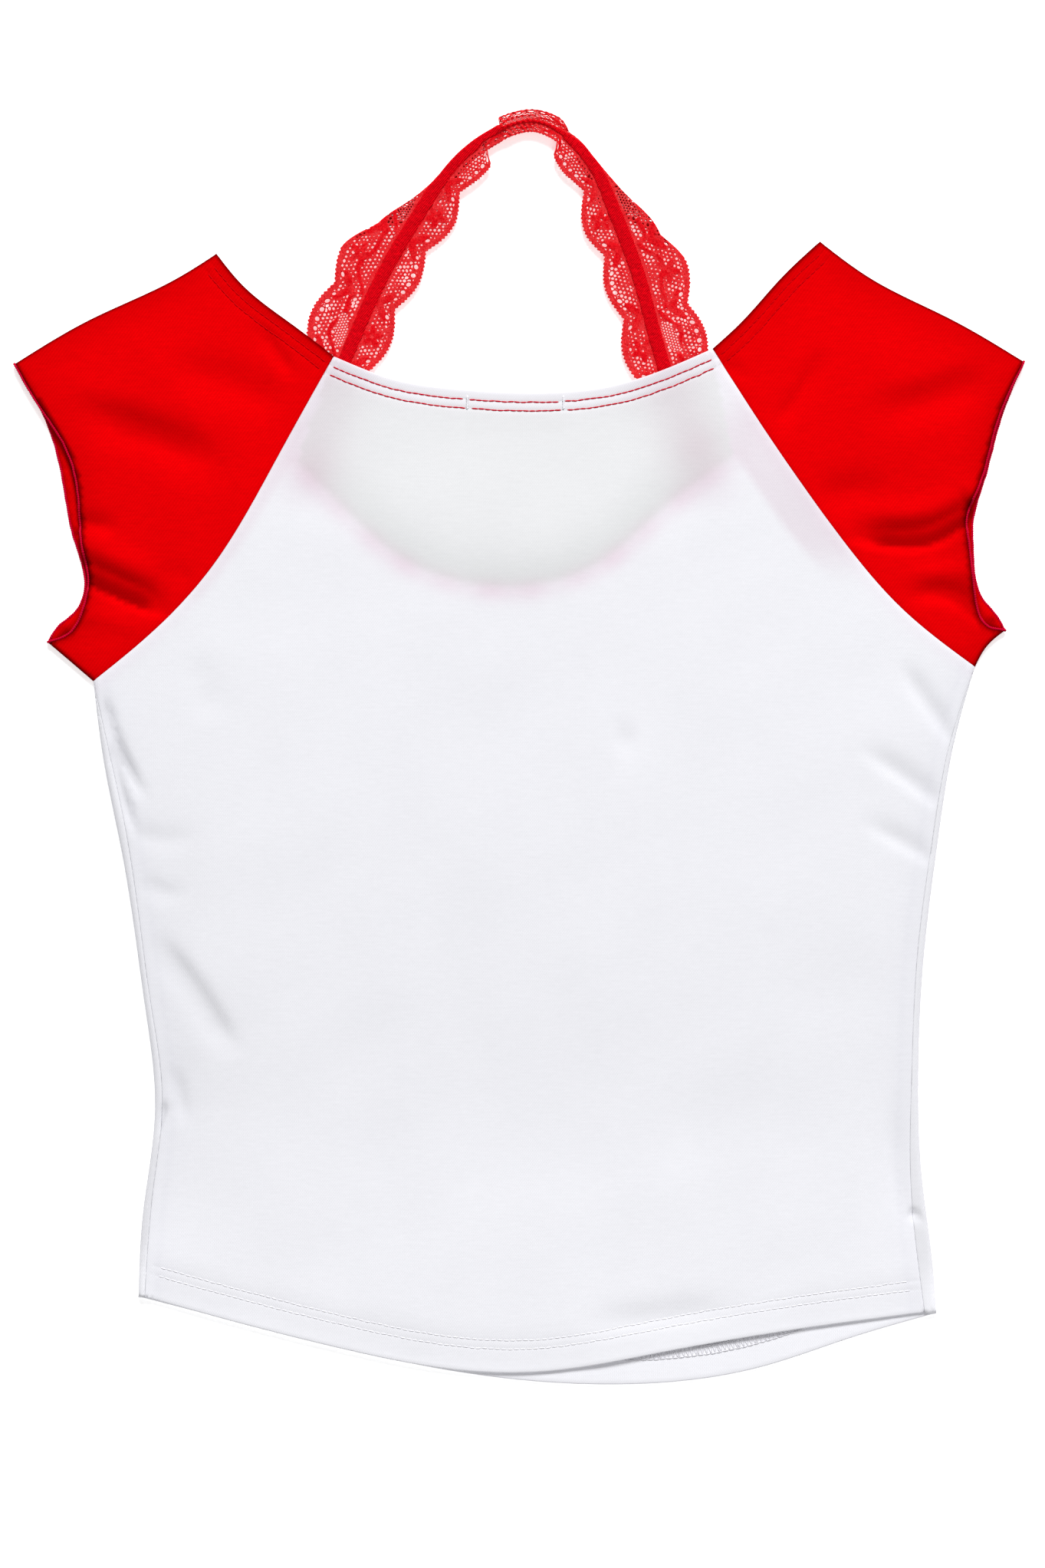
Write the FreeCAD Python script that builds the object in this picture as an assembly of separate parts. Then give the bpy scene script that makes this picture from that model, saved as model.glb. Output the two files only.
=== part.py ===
import FreeCAD, Part
import math
import os

from FreeCAD import Vector

# A junior cheer top, laid flat with its back side up. Millimetres.
# +X is to the right as seen from above, +Y towards the neck, +Z up. The floor is Z = 0.
# The wearer's left is on the -X side.

# Driving dimensions: cloth and thread
FABRIC = 1.0             # jersey
BACK_TOP = 9.0           # upper face of the back panel above the floor
NECK_TURN = 10.0         # depth of the turned neck edge
HEM_TURN = 16.0          # depth of the turned bottom hem
ROW_GAP = 4.0            # between the two needles of a coverstitch
NECK_ROW = 4.5           # neck edge to the first row
HEM_ROW = 11.0           # hem edge to the first row
THREAD = 0.5             # width of a row
THREAD_HIGH = 0.4        # how far a row stands on the cloth
ALLOWANCE = 6.0          # width of an overlocked seam allowance
ROLLED_EDGE = 1.0        # thread that wraps the sleeve opening
EDGE_CLEAR = 0.2         # its lower stretch above the floor

# Driving dimensions: halter lace
LACE_OUTER = 21.0        # rib to the outer edge, middle of the scallops
LACE_INNER = 14.5        # rib to the inner edge
LACE_THICK = 1.2
SCALLOP = 31.5           # length of one repeat
SCALLOP_HIGH = 4.6       # valley to crest
SCALLOP_POINTS = 6
VALLEY = 114.0           # apex to a valley on the left leg, along the rib
RIB_WIDE = 5.0
RIB_HIGH = 1.0
NAPE_HALF = 5.5          # half width of the gathered lace at the apex
FOLDED_HALF = 2.0        # outer half width where that half is folded under
FOLD_LEFT = (48.0, 106.0)            # from the apex: folded under on the left leg, then flat
FOLD_RIGHT = (28.0, 96.0)
HINGE_Y = 188.0          # line where the loop leaves the neck opening
HINGE_GAP = 0.3
ANCHOR_ROW = 3.0         # width of the stitching that holds the lace's ends

# Driving dimensions: labels
SIZE_LABEL = (44.5, 18.0)
CARE_LABEL = (42.0, 30.0)
LABEL_THICK = 0.4
TACK = (0.8, 9.0)
SIZE_LABEL_LOW = (-24.3, 142.5)      # its lower left corner
TACK_LOW = 152.0
CARE_LABEL_LOW = (-163.5, -165.0)

# Heights
BACK = BACK_TOP - FABRIC             # underside of the back panel
BACK_TURN = BACK - FABRIC            # underside of its turned edges
FRONT_TURN = 2 * FABRIC              # upper face of the front panel's turned edges
LACE = FRONT_TURN                    # underside of the lace
RIB = LACE + LACE_THICK
JOIN = 1e-6

# Outlines, each a smooth run through its points
LEFT_RAGLAN = [(-84.5, 177.5), (-109, 133.5), (-140, 81.5), (-163, 56), (-194, 30)]
RIGHT_RAGLAN = [(87.5, 181), (118.5, 133), (145, 96), (174, 62.5), (207, 36.5)]
BACK_NECK = [(-84.5, 177.5), (-60, 168), (-26, 162.7), (3, 161.2), (47, 165.5), (87.5, 181)]
LEFT_SEAM = [(-194, 30), (-186, -5), (-178, -44), (-167.5, -118), (-162.5, -160), (-166.5, -200),
             (-170.5, -250)]
RIGHT_SEAM = [(207, 36.5), (195.5, 2), (187, -45), (181, -90), (178, -150), (177.5, -195), (184, -257)]
BACK_HEM = [(-170.5, -250), (-127, -262), (-81, -273.5), (-30, -283), (10, -284), (60, -276), (114, -266.5),
            (184, -257)]

LEFT_FRONT_RAGLAN = [(-102, 127), (-114, 107), (-143, 67), (-164, 50), (-194, 30)]
RIGHT_FRONT_RAGLAN = [(97, 129), (112, 107), (138, 76), (170, 53), (207, 36.5)]
FRONT_NECK = [(-102, 127), (-78, 103), (-52, 82), (-24, 72), (6, 71), (38, 82), (64, 104), (97, 129)]
LEFT_SIDE = [(-194, 30), (-189, -8), (-181, -48), (-170.5, -118), (-166, -165), (-171.5, -212),
             (-173.5, -250)]
RIGHT_SIDE = [(207, 36.5), (198, 4), (190, -44), (184, -93), (181.3, -150), (183, -196), (187.5, -232),
              (189.5, -257.5)]
FRONT_HEM = [(-173.5, -250), (-127, -262), (-81, -273.5), (-30, -284), (42, -290), (110, -282), (150, -269),
             (189.5, -257.5)]

LEFT_NECK_SIDE = [(-84.5, 177.5), (-104, 192.5), (-126, 210), (-138, 224.5)]
LEFT_FRONT_NECK_SIDE = [(-102, 127), (-113, 165), (-127, 204), (-138, 224.5)]
LEFT_SHOULDER = [(-138, 224.5), (-156.5, 213), (-195.5, 194.5), (-229.5, 174.5)]
LEFT_CUFF = [(-229.5, 174.5), (-218, 155), (-206, 136), (-200.5, 116), (-199, 95), (-196, 75),
             (-199.5, 61.5), (-214.5, 47.5)]
LEFT_FRONT_CUFF = [(-229.5, 174.5), (-221.5, 161.5), (-213, 143), (-207, 118), (-202.5, 95), (-196.5, 75),
                   (-199.5, 61.5), (-214.5, 47.5)]
LEFT_UNDERARM = [(-214.5, 47.5), (-204.5, 39), (-194, 30)]

RIGHT_NECK_SIDE = [(87.5, 181), (100.5, 193), (118.5, 213), (136.5, 230)]
RIGHT_FRONT_NECK_SIDE = [(97, 129), (108, 167), (122, 205), (136.5, 230)]
RIGHT_SHOULDER = [(136.5, 230), (160, 213), (195.5, 195), (229, 175.5)]
RIGHT_CUFF = [(229, 175.5), (216, 146), (209, 121), (203, 104), (204, 90), (209, 64), (220.5, 53)]
RIGHT_FRONT_CUFF = [(229, 175.5), (218, 148), (211, 122), (206, 104), (206, 88), (210, 65), (220.5, 53)]
RIGHT_UNDERARM = [(220.5, 53), (212.5, 46), (207, 36.5)]

# The lace's rib, from the left end on the front neck, over the apex, to the right end
LACE_RIB = [(-96, 110), (-92, 140), (-84, 165), (-77, 182), (-60, 219), (-46.5, 241.5), (-26, 269),
            (-9, 280.5), (6, 284.5), (18, 280), (30, 269), (42.5, 244.5), (53, 217.5), (61, 188.5),
            (70, 160), (79, 136), (85, 108)]
APEX = 8


def spline(points):
    curve = Part.BSplineCurve()
    curve.interpolate([Vector(x, y, 0) for x, y in points])
    return curve


def beside(points, distance, first=0.0, last=1.0, stations=12):
    """Points beside the run, to its left for a positive distance, over a share of its length."""
    curve = spline(points)
    length = curve.length()
    row = []
    for k in range(stations + 1):
        share = first + (last - first) * k / stations
        at = curve.parameterAtDistance(length * share, curve.FirstParameter)
        along = curve.tangent(at)[0]
        place = curve.value(at)
        row.append((place.x - along.y * distance, place.y + along.x * distance))
    return row


def edge(points):
    if len(points) == 2:
        (x0, y0), (x1, y1) = points
        return Part.LineSegment(Vector(x0, y0, 0), Vector(x1, y1, 0)).toShape()
    return spline(points).toShape()


def plate(runs, bottom, top):
    """Solid between two heights. Its outline follows the runs, with straight lines over any gaps."""
    edges = []
    for run, following in zip(runs, runs[1:] + runs[:1]):
        edges.append(edge(run))
        if math.dist(run[-1], following[0]) > JOIN:
            edges.append(edge([run[-1], following[0]]))
    face = Part.Face(Part.Wire(edges))
    face.translate(Vector(0, 0, bottom))
    return face.extrude(Vector(0, 0, top - bottom))


def strip(points, near, far, bottom, top, first=0.0, last=1.0):
    """Band that runs beside a run, between two distances from it."""
    sides = [beside(points, distance, first, last) for distance in (near, far)]
    if near == 0.0 and (first, last) == (0.0, 1.0):
        sides[0] = points
    return plate([sides[0], sides[1][::-1]], bottom, top)


def back(points):
    return points[::-1]


def one(*solids):
    joined = solids[0].fuse(list(solids[1:])) if len(solids) > 1 else solids[0]
    return joined.removeSplitter()


def save(name, shape):
    solids = shape.Solids
    if not shape.isValid() or not solids:
        raise ValueError(name)
    print(name, len(solids), "solids", round(shape.Volume, 2), "mm3")
    body = solids[0] if len(solids) == 1 else Part.makeCompound(solids)
    body.exportStep(os.path.join("parts", name + ".step"))


def front_panel():
    """Lies on the floor, wraps up round both side edges and shows as a narrow strip on the back side."""
    runs = [FRONT_NECK, RIGHT_FRONT_RAGLAN, RIGHT_SIDE, back(FRONT_HEM), back(LEFT_SIDE),
            back(LEFT_FRONT_RAGLAN)]
    sheet = plate(runs, 0, FABRIC)
    above = plate(runs, FABRIC, BACK)
    neck = strip(FRONT_NECK, 0.0, -NECK_TURN, FABRIC, FRONT_TURN).common(above)
    hem = strip(FRONT_HEM, 0.0, HEM_TURN, FABRIC, FRONT_TURN).common(above)
    left_wall = strip(LEFT_SIDE, 0.0, FABRIC, FABRIC, BACK).common(above)
    right_wall = strip(RIGHT_SIDE, 0.0, -FABRIC, FABRIC, BACK).common(above)
    left_strip = plate([LEFT_SIDE, back(LEFT_SEAM)], BACK, BACK_TOP)
    right_strip = plate([RIGHT_SIDE, back(RIGHT_SEAM)], BACK, BACK_TOP)
    return one(sheet, neck, hem, left_wall, right_wall, left_strip, right_strip)


def back_panel(front):
    runs = [BACK_NECK, RIGHT_RAGLAN, RIGHT_SEAM, back(BACK_HEM), back(LEFT_SEAM), back(LEFT_RAGLAN)]
    sheet = plate(runs, BACK, BACK_TOP)
    under = plate(runs, BACK_TURN, BACK)
    neck = strip(BACK_NECK, 0.0, -NECK_TURN, BACK_TURN, BACK).common(under)
    hem = strip(BACK_HEM, 0.0, HEM_TURN, BACK_TURN, BACK).common(under)
    return one(sheet, neck, hem).cut(front)


def sleeve(neck, front_neck, shoulder, cuff, front_cuff, underarm, raglan, front_raglan, side):
    """One piece of cloth folded at the shoulder. side is 1 where the cloth is left of its shoulder run."""
    leaf = [neck, shoulder, cuff, underarm, back(raglan)]
    front_leaf = [front_neck, shoulder, front_cuff, underarm, back(front_raglan)]
    upper = plate(leaf, BACK, BACK_TOP)
    lower = plate(front_leaf, 0, FABRIC)
    between = plate(leaf, FABRIC, BACK)
    shoulder_fold = strip(shoulder, 0.0, side * FABRIC, FABRIC, BACK).common(between)
    underarm_wall = strip(underarm, 0.0, side * FABRIC, FABRIC, BACK).common(between)
    neck_turn = strip(neck, 0.0, side * NECK_TURN, BACK_TURN, BACK).common(between)
    front_between = plate(front_leaf, FABRIC, FRONT_TURN)
    front_neck_turn = strip(front_neck, 0.0, side * NECK_TURN, FABRIC, FRONT_TURN).common(front_between)
    return one(upper, lower, shoulder_fold, underarm_wall, neck_turn, front_neck_turn)


def rolled_edge(cuff, front_cuff, side):
    """Overlock thread right round the sleeve opening, with a short upright at each fold."""
    upper = strip(cuff, 0.0, side * ROLLED_EDGE, BACK, BACK_TOP)
    lower = strip(front_cuff, 0.0, side * ROLLED_EDGE, EDGE_CLEAR, FABRIC)
    tall = strip(cuff, 0.0, side * ROLLED_EDGE, FABRIC, BACK)
    uprights = []
    for x, y in (cuff[0], cuff[-1]):
        post = Part.makeCylinder(1.5 * ROLLED_EDGE, BACK - FABRIC, Vector(x, y, FABRIC))
        uprights.append(tall.common(post))
    return one(upper, lower, *uprights)


def raglan_seam(raglan, side, bottom, around):
    """Overlocked allowance, pressed towards the body panel."""
    shape = strip(raglan, 0.0, side * ALLOWANCE, bottom, bottom + FABRIC)
    for piece in around:
        shape = shape.cut(piece)
    return biggest(shape)


def side_seam(seam, underarm, side, around):
    """One overlocked seam from the bottom hem to the sleeve opening, under the back side."""
    body = strip(seam, 0.0, side * ALLOWANCE, BACK_TURN, BACK)
    arm = strip(underarm, 0.0, side * ALLOWANCE, BACK_TURN, BACK)
    shape = one(body, arm)
    for piece in around:
        shape = shape.cut(piece)
    return biggest(shape)


def biggest(shape):
    return max(shape.Solids, key=lambda solid: solid.Volume)


def twin_rows(points, depth, side, bottom, first=0.01, last=0.99):
    """The two needle rows of a coverstitch, each a fine raised line."""
    rows = []
    for row in range(2):
        near = side * (depth + row * ROW_GAP)
        rows.append(strip(points, near, near + side * THREAD, bottom, bottom + THREAD_HIGH, first, last))
    return Part.makeCompound(rows)


def looper(points, depth, side, bottom, first=0.02, last=0.98):
    """The covering threads on the inner side, a flat band between the needle rows."""
    return strip(points, side * depth, side * (depth + ROW_GAP), bottom, bottom + THREAD_HIGH, first, last)


def lace_stations():
    """Share of the rib, distance from the apex along it and which leg, for each station."""
    rib = spline(LACE_RIB)
    length = rib.length()
    apex = rib.length(rib.FirstParameter, rib.parameter(Vector(*LACE_RIB[APEX], 0)))
    count = int(length / SCALLOP * SCALLOP_POINTS)
    return [(k / count, length * k / count - apex) for k in range(count + 1)]


def ramp(value, low, high):
    share = min(max((value - low) / (high - low), 0.0), 1.0)
    return share * share * (3 - 2 * share)


def lace_half_widths(from_apex):
    """Outer and inner half widths. Near the apex the lace is gathered and its outer half folds under."""
    away = abs(from_apex)
    bulge = abs(math.sin(math.pi * (from_apex + VALLEY) / SCALLOP)) - 0.5
    scallop = bulge * SCALLOP_HIGH
    low, high = FOLD_LEFT if from_apex < 0 else FOLD_RIGHT
    outer = FOLDED_HALF + (LACE_OUTER - FOLDED_HALF) * ramp(away, low, high)
    outer += (NAPE_HALF - FOLDED_HALF) * (1 - ramp(away, 8, 26))
    outer += scallop * ramp(away, low + 17, high)
    inner = NAPE_HALF + (LACE_INNER - NAPE_HALF) * ramp(away, 12, 48)
    inner += scallop * ramp(away, 15, 40)
    return outer, inner


def lace_outline():
    rib = spline(LACE_RIB)
    length = rib.length()
    outer_edge = []
    inner_edge = []
    for share, from_apex in lace_stations():
        at = rib.parameterAtDistance(length * share, rib.FirstParameter)
        along = rib.tangent(at)[0]
        place = rib.value(at)
        outer, inner = lace_half_widths(from_apex)
        outer_edge.append((place.x - along.y * outer, place.y + along.x * outer))
        inner_edge.append((place.x + along.y * inner, place.y - along.x * inner))
    return [outer_edge, inner_edge[::-1]]


def half_space(sign, gap):
    """Everything on one side of the hinge line, less half the gap."""
    size = 600.0
    near = HINGE_Y + sign * gap / 2
    low = near if sign > 0 else near - size
    return Part.makeBox(size, size, size, Vector(-size / 2, low, -size / 2))


def loop_and_bases(shape):
    """The part that moves, and the left and right lengths that stay in the neck opening."""
    loop = shape.common(half_space(1, HINGE_GAP))
    fixed = shape.common(half_space(-1, HINGE_GAP))
    left = [solid for solid in fixed.Solids if solid.CenterOfMass.x < 0]
    right = [solid for solid in fixed.Solids if solid.CenterOfMass.x > 0]
    return biggest(loop), max(left, key=lambda s: s.Volume), max(right, key=lambda s: s.Volume)


def anchor_stitching(end, neighbour):
    """Zigzag rows across a lace end, square to the rib, on either side of it."""
    (x0, y0), (x1, y1) = end, neighbour
    length = math.dist(end, neighbour)
    ux, uy = (x1 - x0) / length, (y1 - y0) / length
    rows = []
    for low, high in ((-LACE_OUTER + 3, -RIB_WIDE), (RIB_WIDE, LACE_INNER - 3)):
        turn = 1 if x0 < 0 else -1
        corners = []
        for along, across in ((2, low), (2, high), (2 + ANCHOR_ROW, high), (2 + ANCHOR_ROW, low)):
            across *= turn
            corners.append((x0 + ux * along + uy * across, y0 + uy * along - ux * across))
        runs = [[a, b] for a, b in zip(corners, corners[1:] + corners[:1])]
        rows.append(plate(runs, RIB, RIB + THREAD_HIGH))
    return Part.makeCompound(rows)


def block(low, size):
    return Part.makeBox(size[0], size[1], size[2], Vector(*low))


def size_label_tacks():
    """Two short upright bars that catch the label's ends, over both needle rows."""
    left = SIZE_LABEL_LOW[0]
    right = left + SIZE_LABEL[0] - TACK[0]
    return Part.makeCompound([block((x, TACK_LOW, BACK_TOP), (*TACK, THREAD_HIGH)) for x in (left, right)])


os.makedirs("parts", exist_ok=True)

front = front_panel()
back_side = back_panel(front)
left_sleeve = sleeve(LEFT_NECK_SIDE, LEFT_FRONT_NECK_SIDE, LEFT_SHOULDER, LEFT_CUFF, LEFT_FRONT_CUFF,
                     LEFT_UNDERARM, LEFT_RAGLAN, LEFT_FRONT_RAGLAN, 1)
right_sleeve = sleeve(RIGHT_NECK_SIDE, RIGHT_FRONT_NECK_SIDE, RIGHT_SHOULDER, RIGHT_CUFF, RIGHT_FRONT_CUFF,
                      RIGHT_UNDERARM, RIGHT_RAGLAN, RIGHT_FRONT_RAGLAN, -1)
left_sleeve = left_sleeve.cut(front)
right_sleeve = right_sleeve.cut(front)
shell = [front, back_side, left_sleeve, right_sleeve]
save("front_panel", front)
save("back_panel", back_side)
save("left_sleeve", left_sleeve)
save("right_sleeve", right_sleeve)

left_back_seam = raglan_seam(LEFT_RAGLAN, 1, BACK_TURN, shell)
right_back_seam = raglan_seam(RIGHT_RAGLAN, -1, BACK_TURN, shell)
left_side = side_seam(LEFT_SEAM, LEFT_UNDERARM, 1, shell + [left_back_seam])
right_side = side_seam(RIGHT_SEAM, RIGHT_UNDERARM, -1, shell + [right_back_seam])
save("left_back_raglan_seam", left_back_seam)
save("right_back_raglan_seam", right_back_seam)
save("left_front_raglan_seam", raglan_seam(LEFT_FRONT_RAGLAN, 1, FABRIC, shell))
save("right_front_raglan_seam", raglan_seam(RIGHT_FRONT_RAGLAN, -1, FABRIC, shell))
save("left_side_seam", left_side)
save("right_side_seam", right_side)

save("left_sleeve_rolled_edge", rolled_edge(LEFT_CUFF, LEFT_FRONT_CUFF, -1))
save("right_sleeve_rolled_edge", rolled_edge(RIGHT_CUFF, RIGHT_FRONT_CUFF, 1))

tacks = size_label_tacks()
save("size_label_tacks", tacks)
save("back_neck_stitching", twin_rows(BACK_NECK, NECK_ROW, -1, BACK_TOP).cut(tacks))
save("front_neck_stitching", looper(FRONT_NECK, NECK_ROW, -1, FRONT_TURN, 0.16, 0.84))
save("left_sleeve_neck_stitching", twin_rows(LEFT_NECK_SIDE, NECK_ROW, 1, BACK_TOP, 0.03, 0.92))
save("right_sleeve_neck_stitching", twin_rows(RIGHT_NECK_SIDE, NECK_ROW, -1, BACK_TOP, 0.03, 0.92))
save("back_hem_stitching", twin_rows(BACK_HEM, HEM_ROW, 1, BACK_TOP))
save("front_hem_stitching", looper(FRONT_HEM, HEM_ROW, 1, FRONT_TURN))

lace = plate(lace_outline(), LACE, RIB)
rib_band = strip(LACE_RIB, -RIB_WIDE / 2, RIB_WIDE / 2, RIB, RIB + RIB_HIGH)
for shape, name in ((lace, "strap"), (rib_band, "elastic")):
    loop, left_base, right_base = loop_and_bases(shape)
    save("halter_loop_" + name, loop)
    save("left_" + name + "_base", left_base)
    save("right_" + name + "_base", right_base)
save("left_strap_anchor_stitching", anchor_stitching(LACE_RIB[0], LACE_RIB[1]))
save("right_strap_anchor_stitching", anchor_stitching(LACE_RIB[-1], LACE_RIB[-2]))

save("size_label", block((*SIZE_LABEL_LOW, BACK_TURN - LABEL_THICK), (*SIZE_LABEL, LABEL_THICK)))
care_label = block((*CARE_LABEL_LOW, BACK_TURN - LABEL_THICK), (*CARE_LABEL, LABEL_THICK))
save("care_label", biggest(care_label.cut(front)))
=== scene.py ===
import math

import bmesh
import bpy
import numpy as np
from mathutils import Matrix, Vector, geometry


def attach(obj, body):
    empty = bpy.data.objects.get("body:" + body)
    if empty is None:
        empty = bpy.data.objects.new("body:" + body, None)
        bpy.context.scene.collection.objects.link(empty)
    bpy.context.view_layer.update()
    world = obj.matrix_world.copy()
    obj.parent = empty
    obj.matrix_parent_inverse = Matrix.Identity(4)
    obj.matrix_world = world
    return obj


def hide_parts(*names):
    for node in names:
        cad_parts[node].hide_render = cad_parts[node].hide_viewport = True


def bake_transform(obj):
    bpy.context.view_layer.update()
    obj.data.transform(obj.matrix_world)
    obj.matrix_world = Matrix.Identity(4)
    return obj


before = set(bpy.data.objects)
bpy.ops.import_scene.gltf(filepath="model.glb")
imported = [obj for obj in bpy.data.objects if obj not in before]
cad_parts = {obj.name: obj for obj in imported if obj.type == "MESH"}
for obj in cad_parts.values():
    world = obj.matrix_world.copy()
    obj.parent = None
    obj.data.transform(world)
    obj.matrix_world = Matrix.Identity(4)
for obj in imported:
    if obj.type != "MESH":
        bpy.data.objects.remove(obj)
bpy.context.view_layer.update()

# A junior cheer top laid flat, back side up. Outlines are in millimetres in the CAD frame:
# +X right, +Y towards the neck, +Z up. The wearer's left is on the -X side.
MM = 0.001

# ---- sizes, millimetres
CLOTH = 0.65             # jersey thickness
GRID = 2.3
STEP = 2.0               # spacing of points along an outline
EDGE_R = 2.6             # how far in a folded side edge rounds over
EDGE_MID = 2.3           # middle height of a folded edge
EDGE_TOP = 4.5           # height where the rounding ends
DOME = 3.4               # extra loft well away from the edges
DOME_REACH = 26.0
FLOOR_GAP = 0.4          # underside cloth above the floor
TURN_R = 0.75            # half the height of a turned edge
NECK_TURN = 10.0
HEM_TURN = 16.0
NECK_ROWS = (4.5, 8.5)
HEM_ROWS = (11.0, 15.0)
STITCH = 2.9
THREAD_R = 0.24

RIB_Z = 2.6              # height of the middle of the lace
LACE_OUTER = 21.0        # rib to the outer edge, middle of the scallops
LACE_INNER = 14.5        # rib to the inner edge
LACE_THICK = 0.55
SCALLOP = 31.5           # length of one repeat
SCALLOP_HIGH = 4.6
VALLEY = 114.0           # apex to a valley on the left leg, along the rib
RIB_WIDE = 5.0
NAPE_HALF = 5.5          # half width of the gathered lace at the apex
FOLDED_HALF = 2.0        # outer half width where that half is folded under
FOLD_LEFT = (48.0, 106.0)            # from the apex: folded under on the left leg, then flat
FOLD_RIGHT = (28.0, 96.0)
FLAP_R = 0.4             # radius of that fold
INNER_START = (25.0, 14.0)           # from the apex: the inner scallops begin, left leg and right leg
LACE_SPLIT_Y = 150.0     # under the back panel, where the fine lace gives way to its plain end

SIZE_LABEL = ((-24.3, 142.5), (44.5, 18.0))      # lower left corner, width and height
LABEL_THICK = 0.22
CARE_LABEL = ((-161.0, -165.0), (39.0, 30.0))
TACKS = (-23.9, 19.8)
TACK_LOW = 153.4
TACK_HIGH = 159.8

# ---- outlines
# Each is a smooth run through its points.
RUNS = {
    "LEFT_RAGLAN": [(-84.5, 177.5), (-109, 133.5), (-140, 81.5), (-163, 56), (-194, 30)],
    "RIGHT_RAGLAN": [(87.5, 181), (118.5, 133), (145, 96), (174, 62.5), (207, 36.5)],
    "BACK_NECK": [(-84.5, 177.5), (-60, 168), (-26, 162.7), (3, 161.2), (47, 165.5), (87.5, 181)],
    "LEFT_SEAM": [
        (-194, 30), (-186, -5), (-178, -44), (-167.5, -118), (-162.5, -160), (-166.5, -200),
        (-170.5, -250)],
    "RIGHT_SEAM": [
        (207, 36.5), (195.5, 2), (187, -45), (181, -90), (178, -150), (177.5, -195), (184, -257)],
    "BACK_HEM": [
        (-170.5, -250), (-127, -262), (-81, -273.5), (-30, -283), (10, -284), (60, -276), (114, -266.5),
        (184, -257)],
    "LEFT_FRONT_RAGLAN": [(-102, 127), (-114, 107), (-143, 67), (-164, 50), (-194, 30)],
    "RIGHT_FRONT_RAGLAN": [(97, 129), (112, 107), (138, 76), (170, 53), (207, 36.5)],
    "FRONT_NECK": [
        (-102, 127), (-78, 103), (-52, 82), (-24, 72), (6, 71), (38, 82), (64, 104), (97, 129)],
    "LEFT_SIDE": [
        (-194, 30), (-189, -8), (-181, -48), (-170.5, -118), (-166, -165), (-171.5, -212),
        (-173.5, -250)],
    "RIGHT_SIDE": [
        (207, 36.5), (198, 4), (190, -44), (184, -93), (181.3, -150), (183, -196), (187.5, -232),
        (189.5, -257.5)],
    "FRONT_HEM": [
        (-173.5, -250), (-127, -262), (-81, -273.5), (-30, -284), (42, -290), (110, -282), (150, -269),
        (189.5, -257.5)],
    "LEFT_NECK_SIDE": [(-84.5, 177.5), (-104, 192.5), (-126, 210), (-138, 224.5)],
    "LEFT_FRONT_NECK_SIDE": [(-102, 127), (-113, 165), (-127, 204), (-138, 224.5)],
    "LEFT_SHOULDER": [(-138, 224.5), (-156.5, 213), (-195.5, 194.5), (-229.5, 174.5)],
    "LEFT_CUFF": [
        (-229.5, 174.5), (-218, 155), (-206, 136), (-200.5, 116), (-199, 95), (-196, 75), (-198.5, 61.5),
        (-204, 52), (-214.5, 47.5)],
    "LEFT_FRONT_CUFF": [
        (-229.5, 174.5), (-221.5, 161.5), (-213, 143), (-207, 118), (-202.5, 95), (-197.5, 75),
        (-202, 61.5), (-210.5, 54), (-214.5, 47.5)],
    "LEFT_UNDERARM": [(-214.5, 47.5), (-204.5, 39), (-194, 30)],
    "RIGHT_NECK_SIDE": [(87.5, 181), (100.5, 193), (118.5, 213), (136.5, 230)],
    "RIGHT_FRONT_NECK_SIDE": [(97, 129), (108, 167), (122, 205), (136.5, 230)],
    "RIGHT_SHOULDER": [(136.5, 230), (160, 213), (195.5, 195), (229, 175.5)],
    "RIGHT_CUFF": [
        (229, 175.5), (216, 146), (209, 121), (203, 104), (204, 90), (207.5, 64), (212, 55), (220.5, 53)],
    "RIGHT_FRONT_CUFF": [
        (229, 175.5), (218, 148), (211, 122), (206, 104), (206, 88), (210.5, 67), (216, 60.5),
        (220.5, 53)],
    "RIGHT_UNDERARM": [(220.5, 53), (212.5, 46), (207, 36.5)],
    "LACE_RIB": [
        (-96, 110), (-92, 140), (-84, 165), (-77, 182), (-60, 219), (-46.5, 241.5), (-26, 269),
        (-9, 280.5), (6, 284.5), (18, 280), (30, 269), (42.5, 244.5), (53, 217.5), (61, 188.5), (70, 160),
        (79, 136), (85, 108)],
}
APEX = 8                 # which point of the lace is its apex

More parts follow.
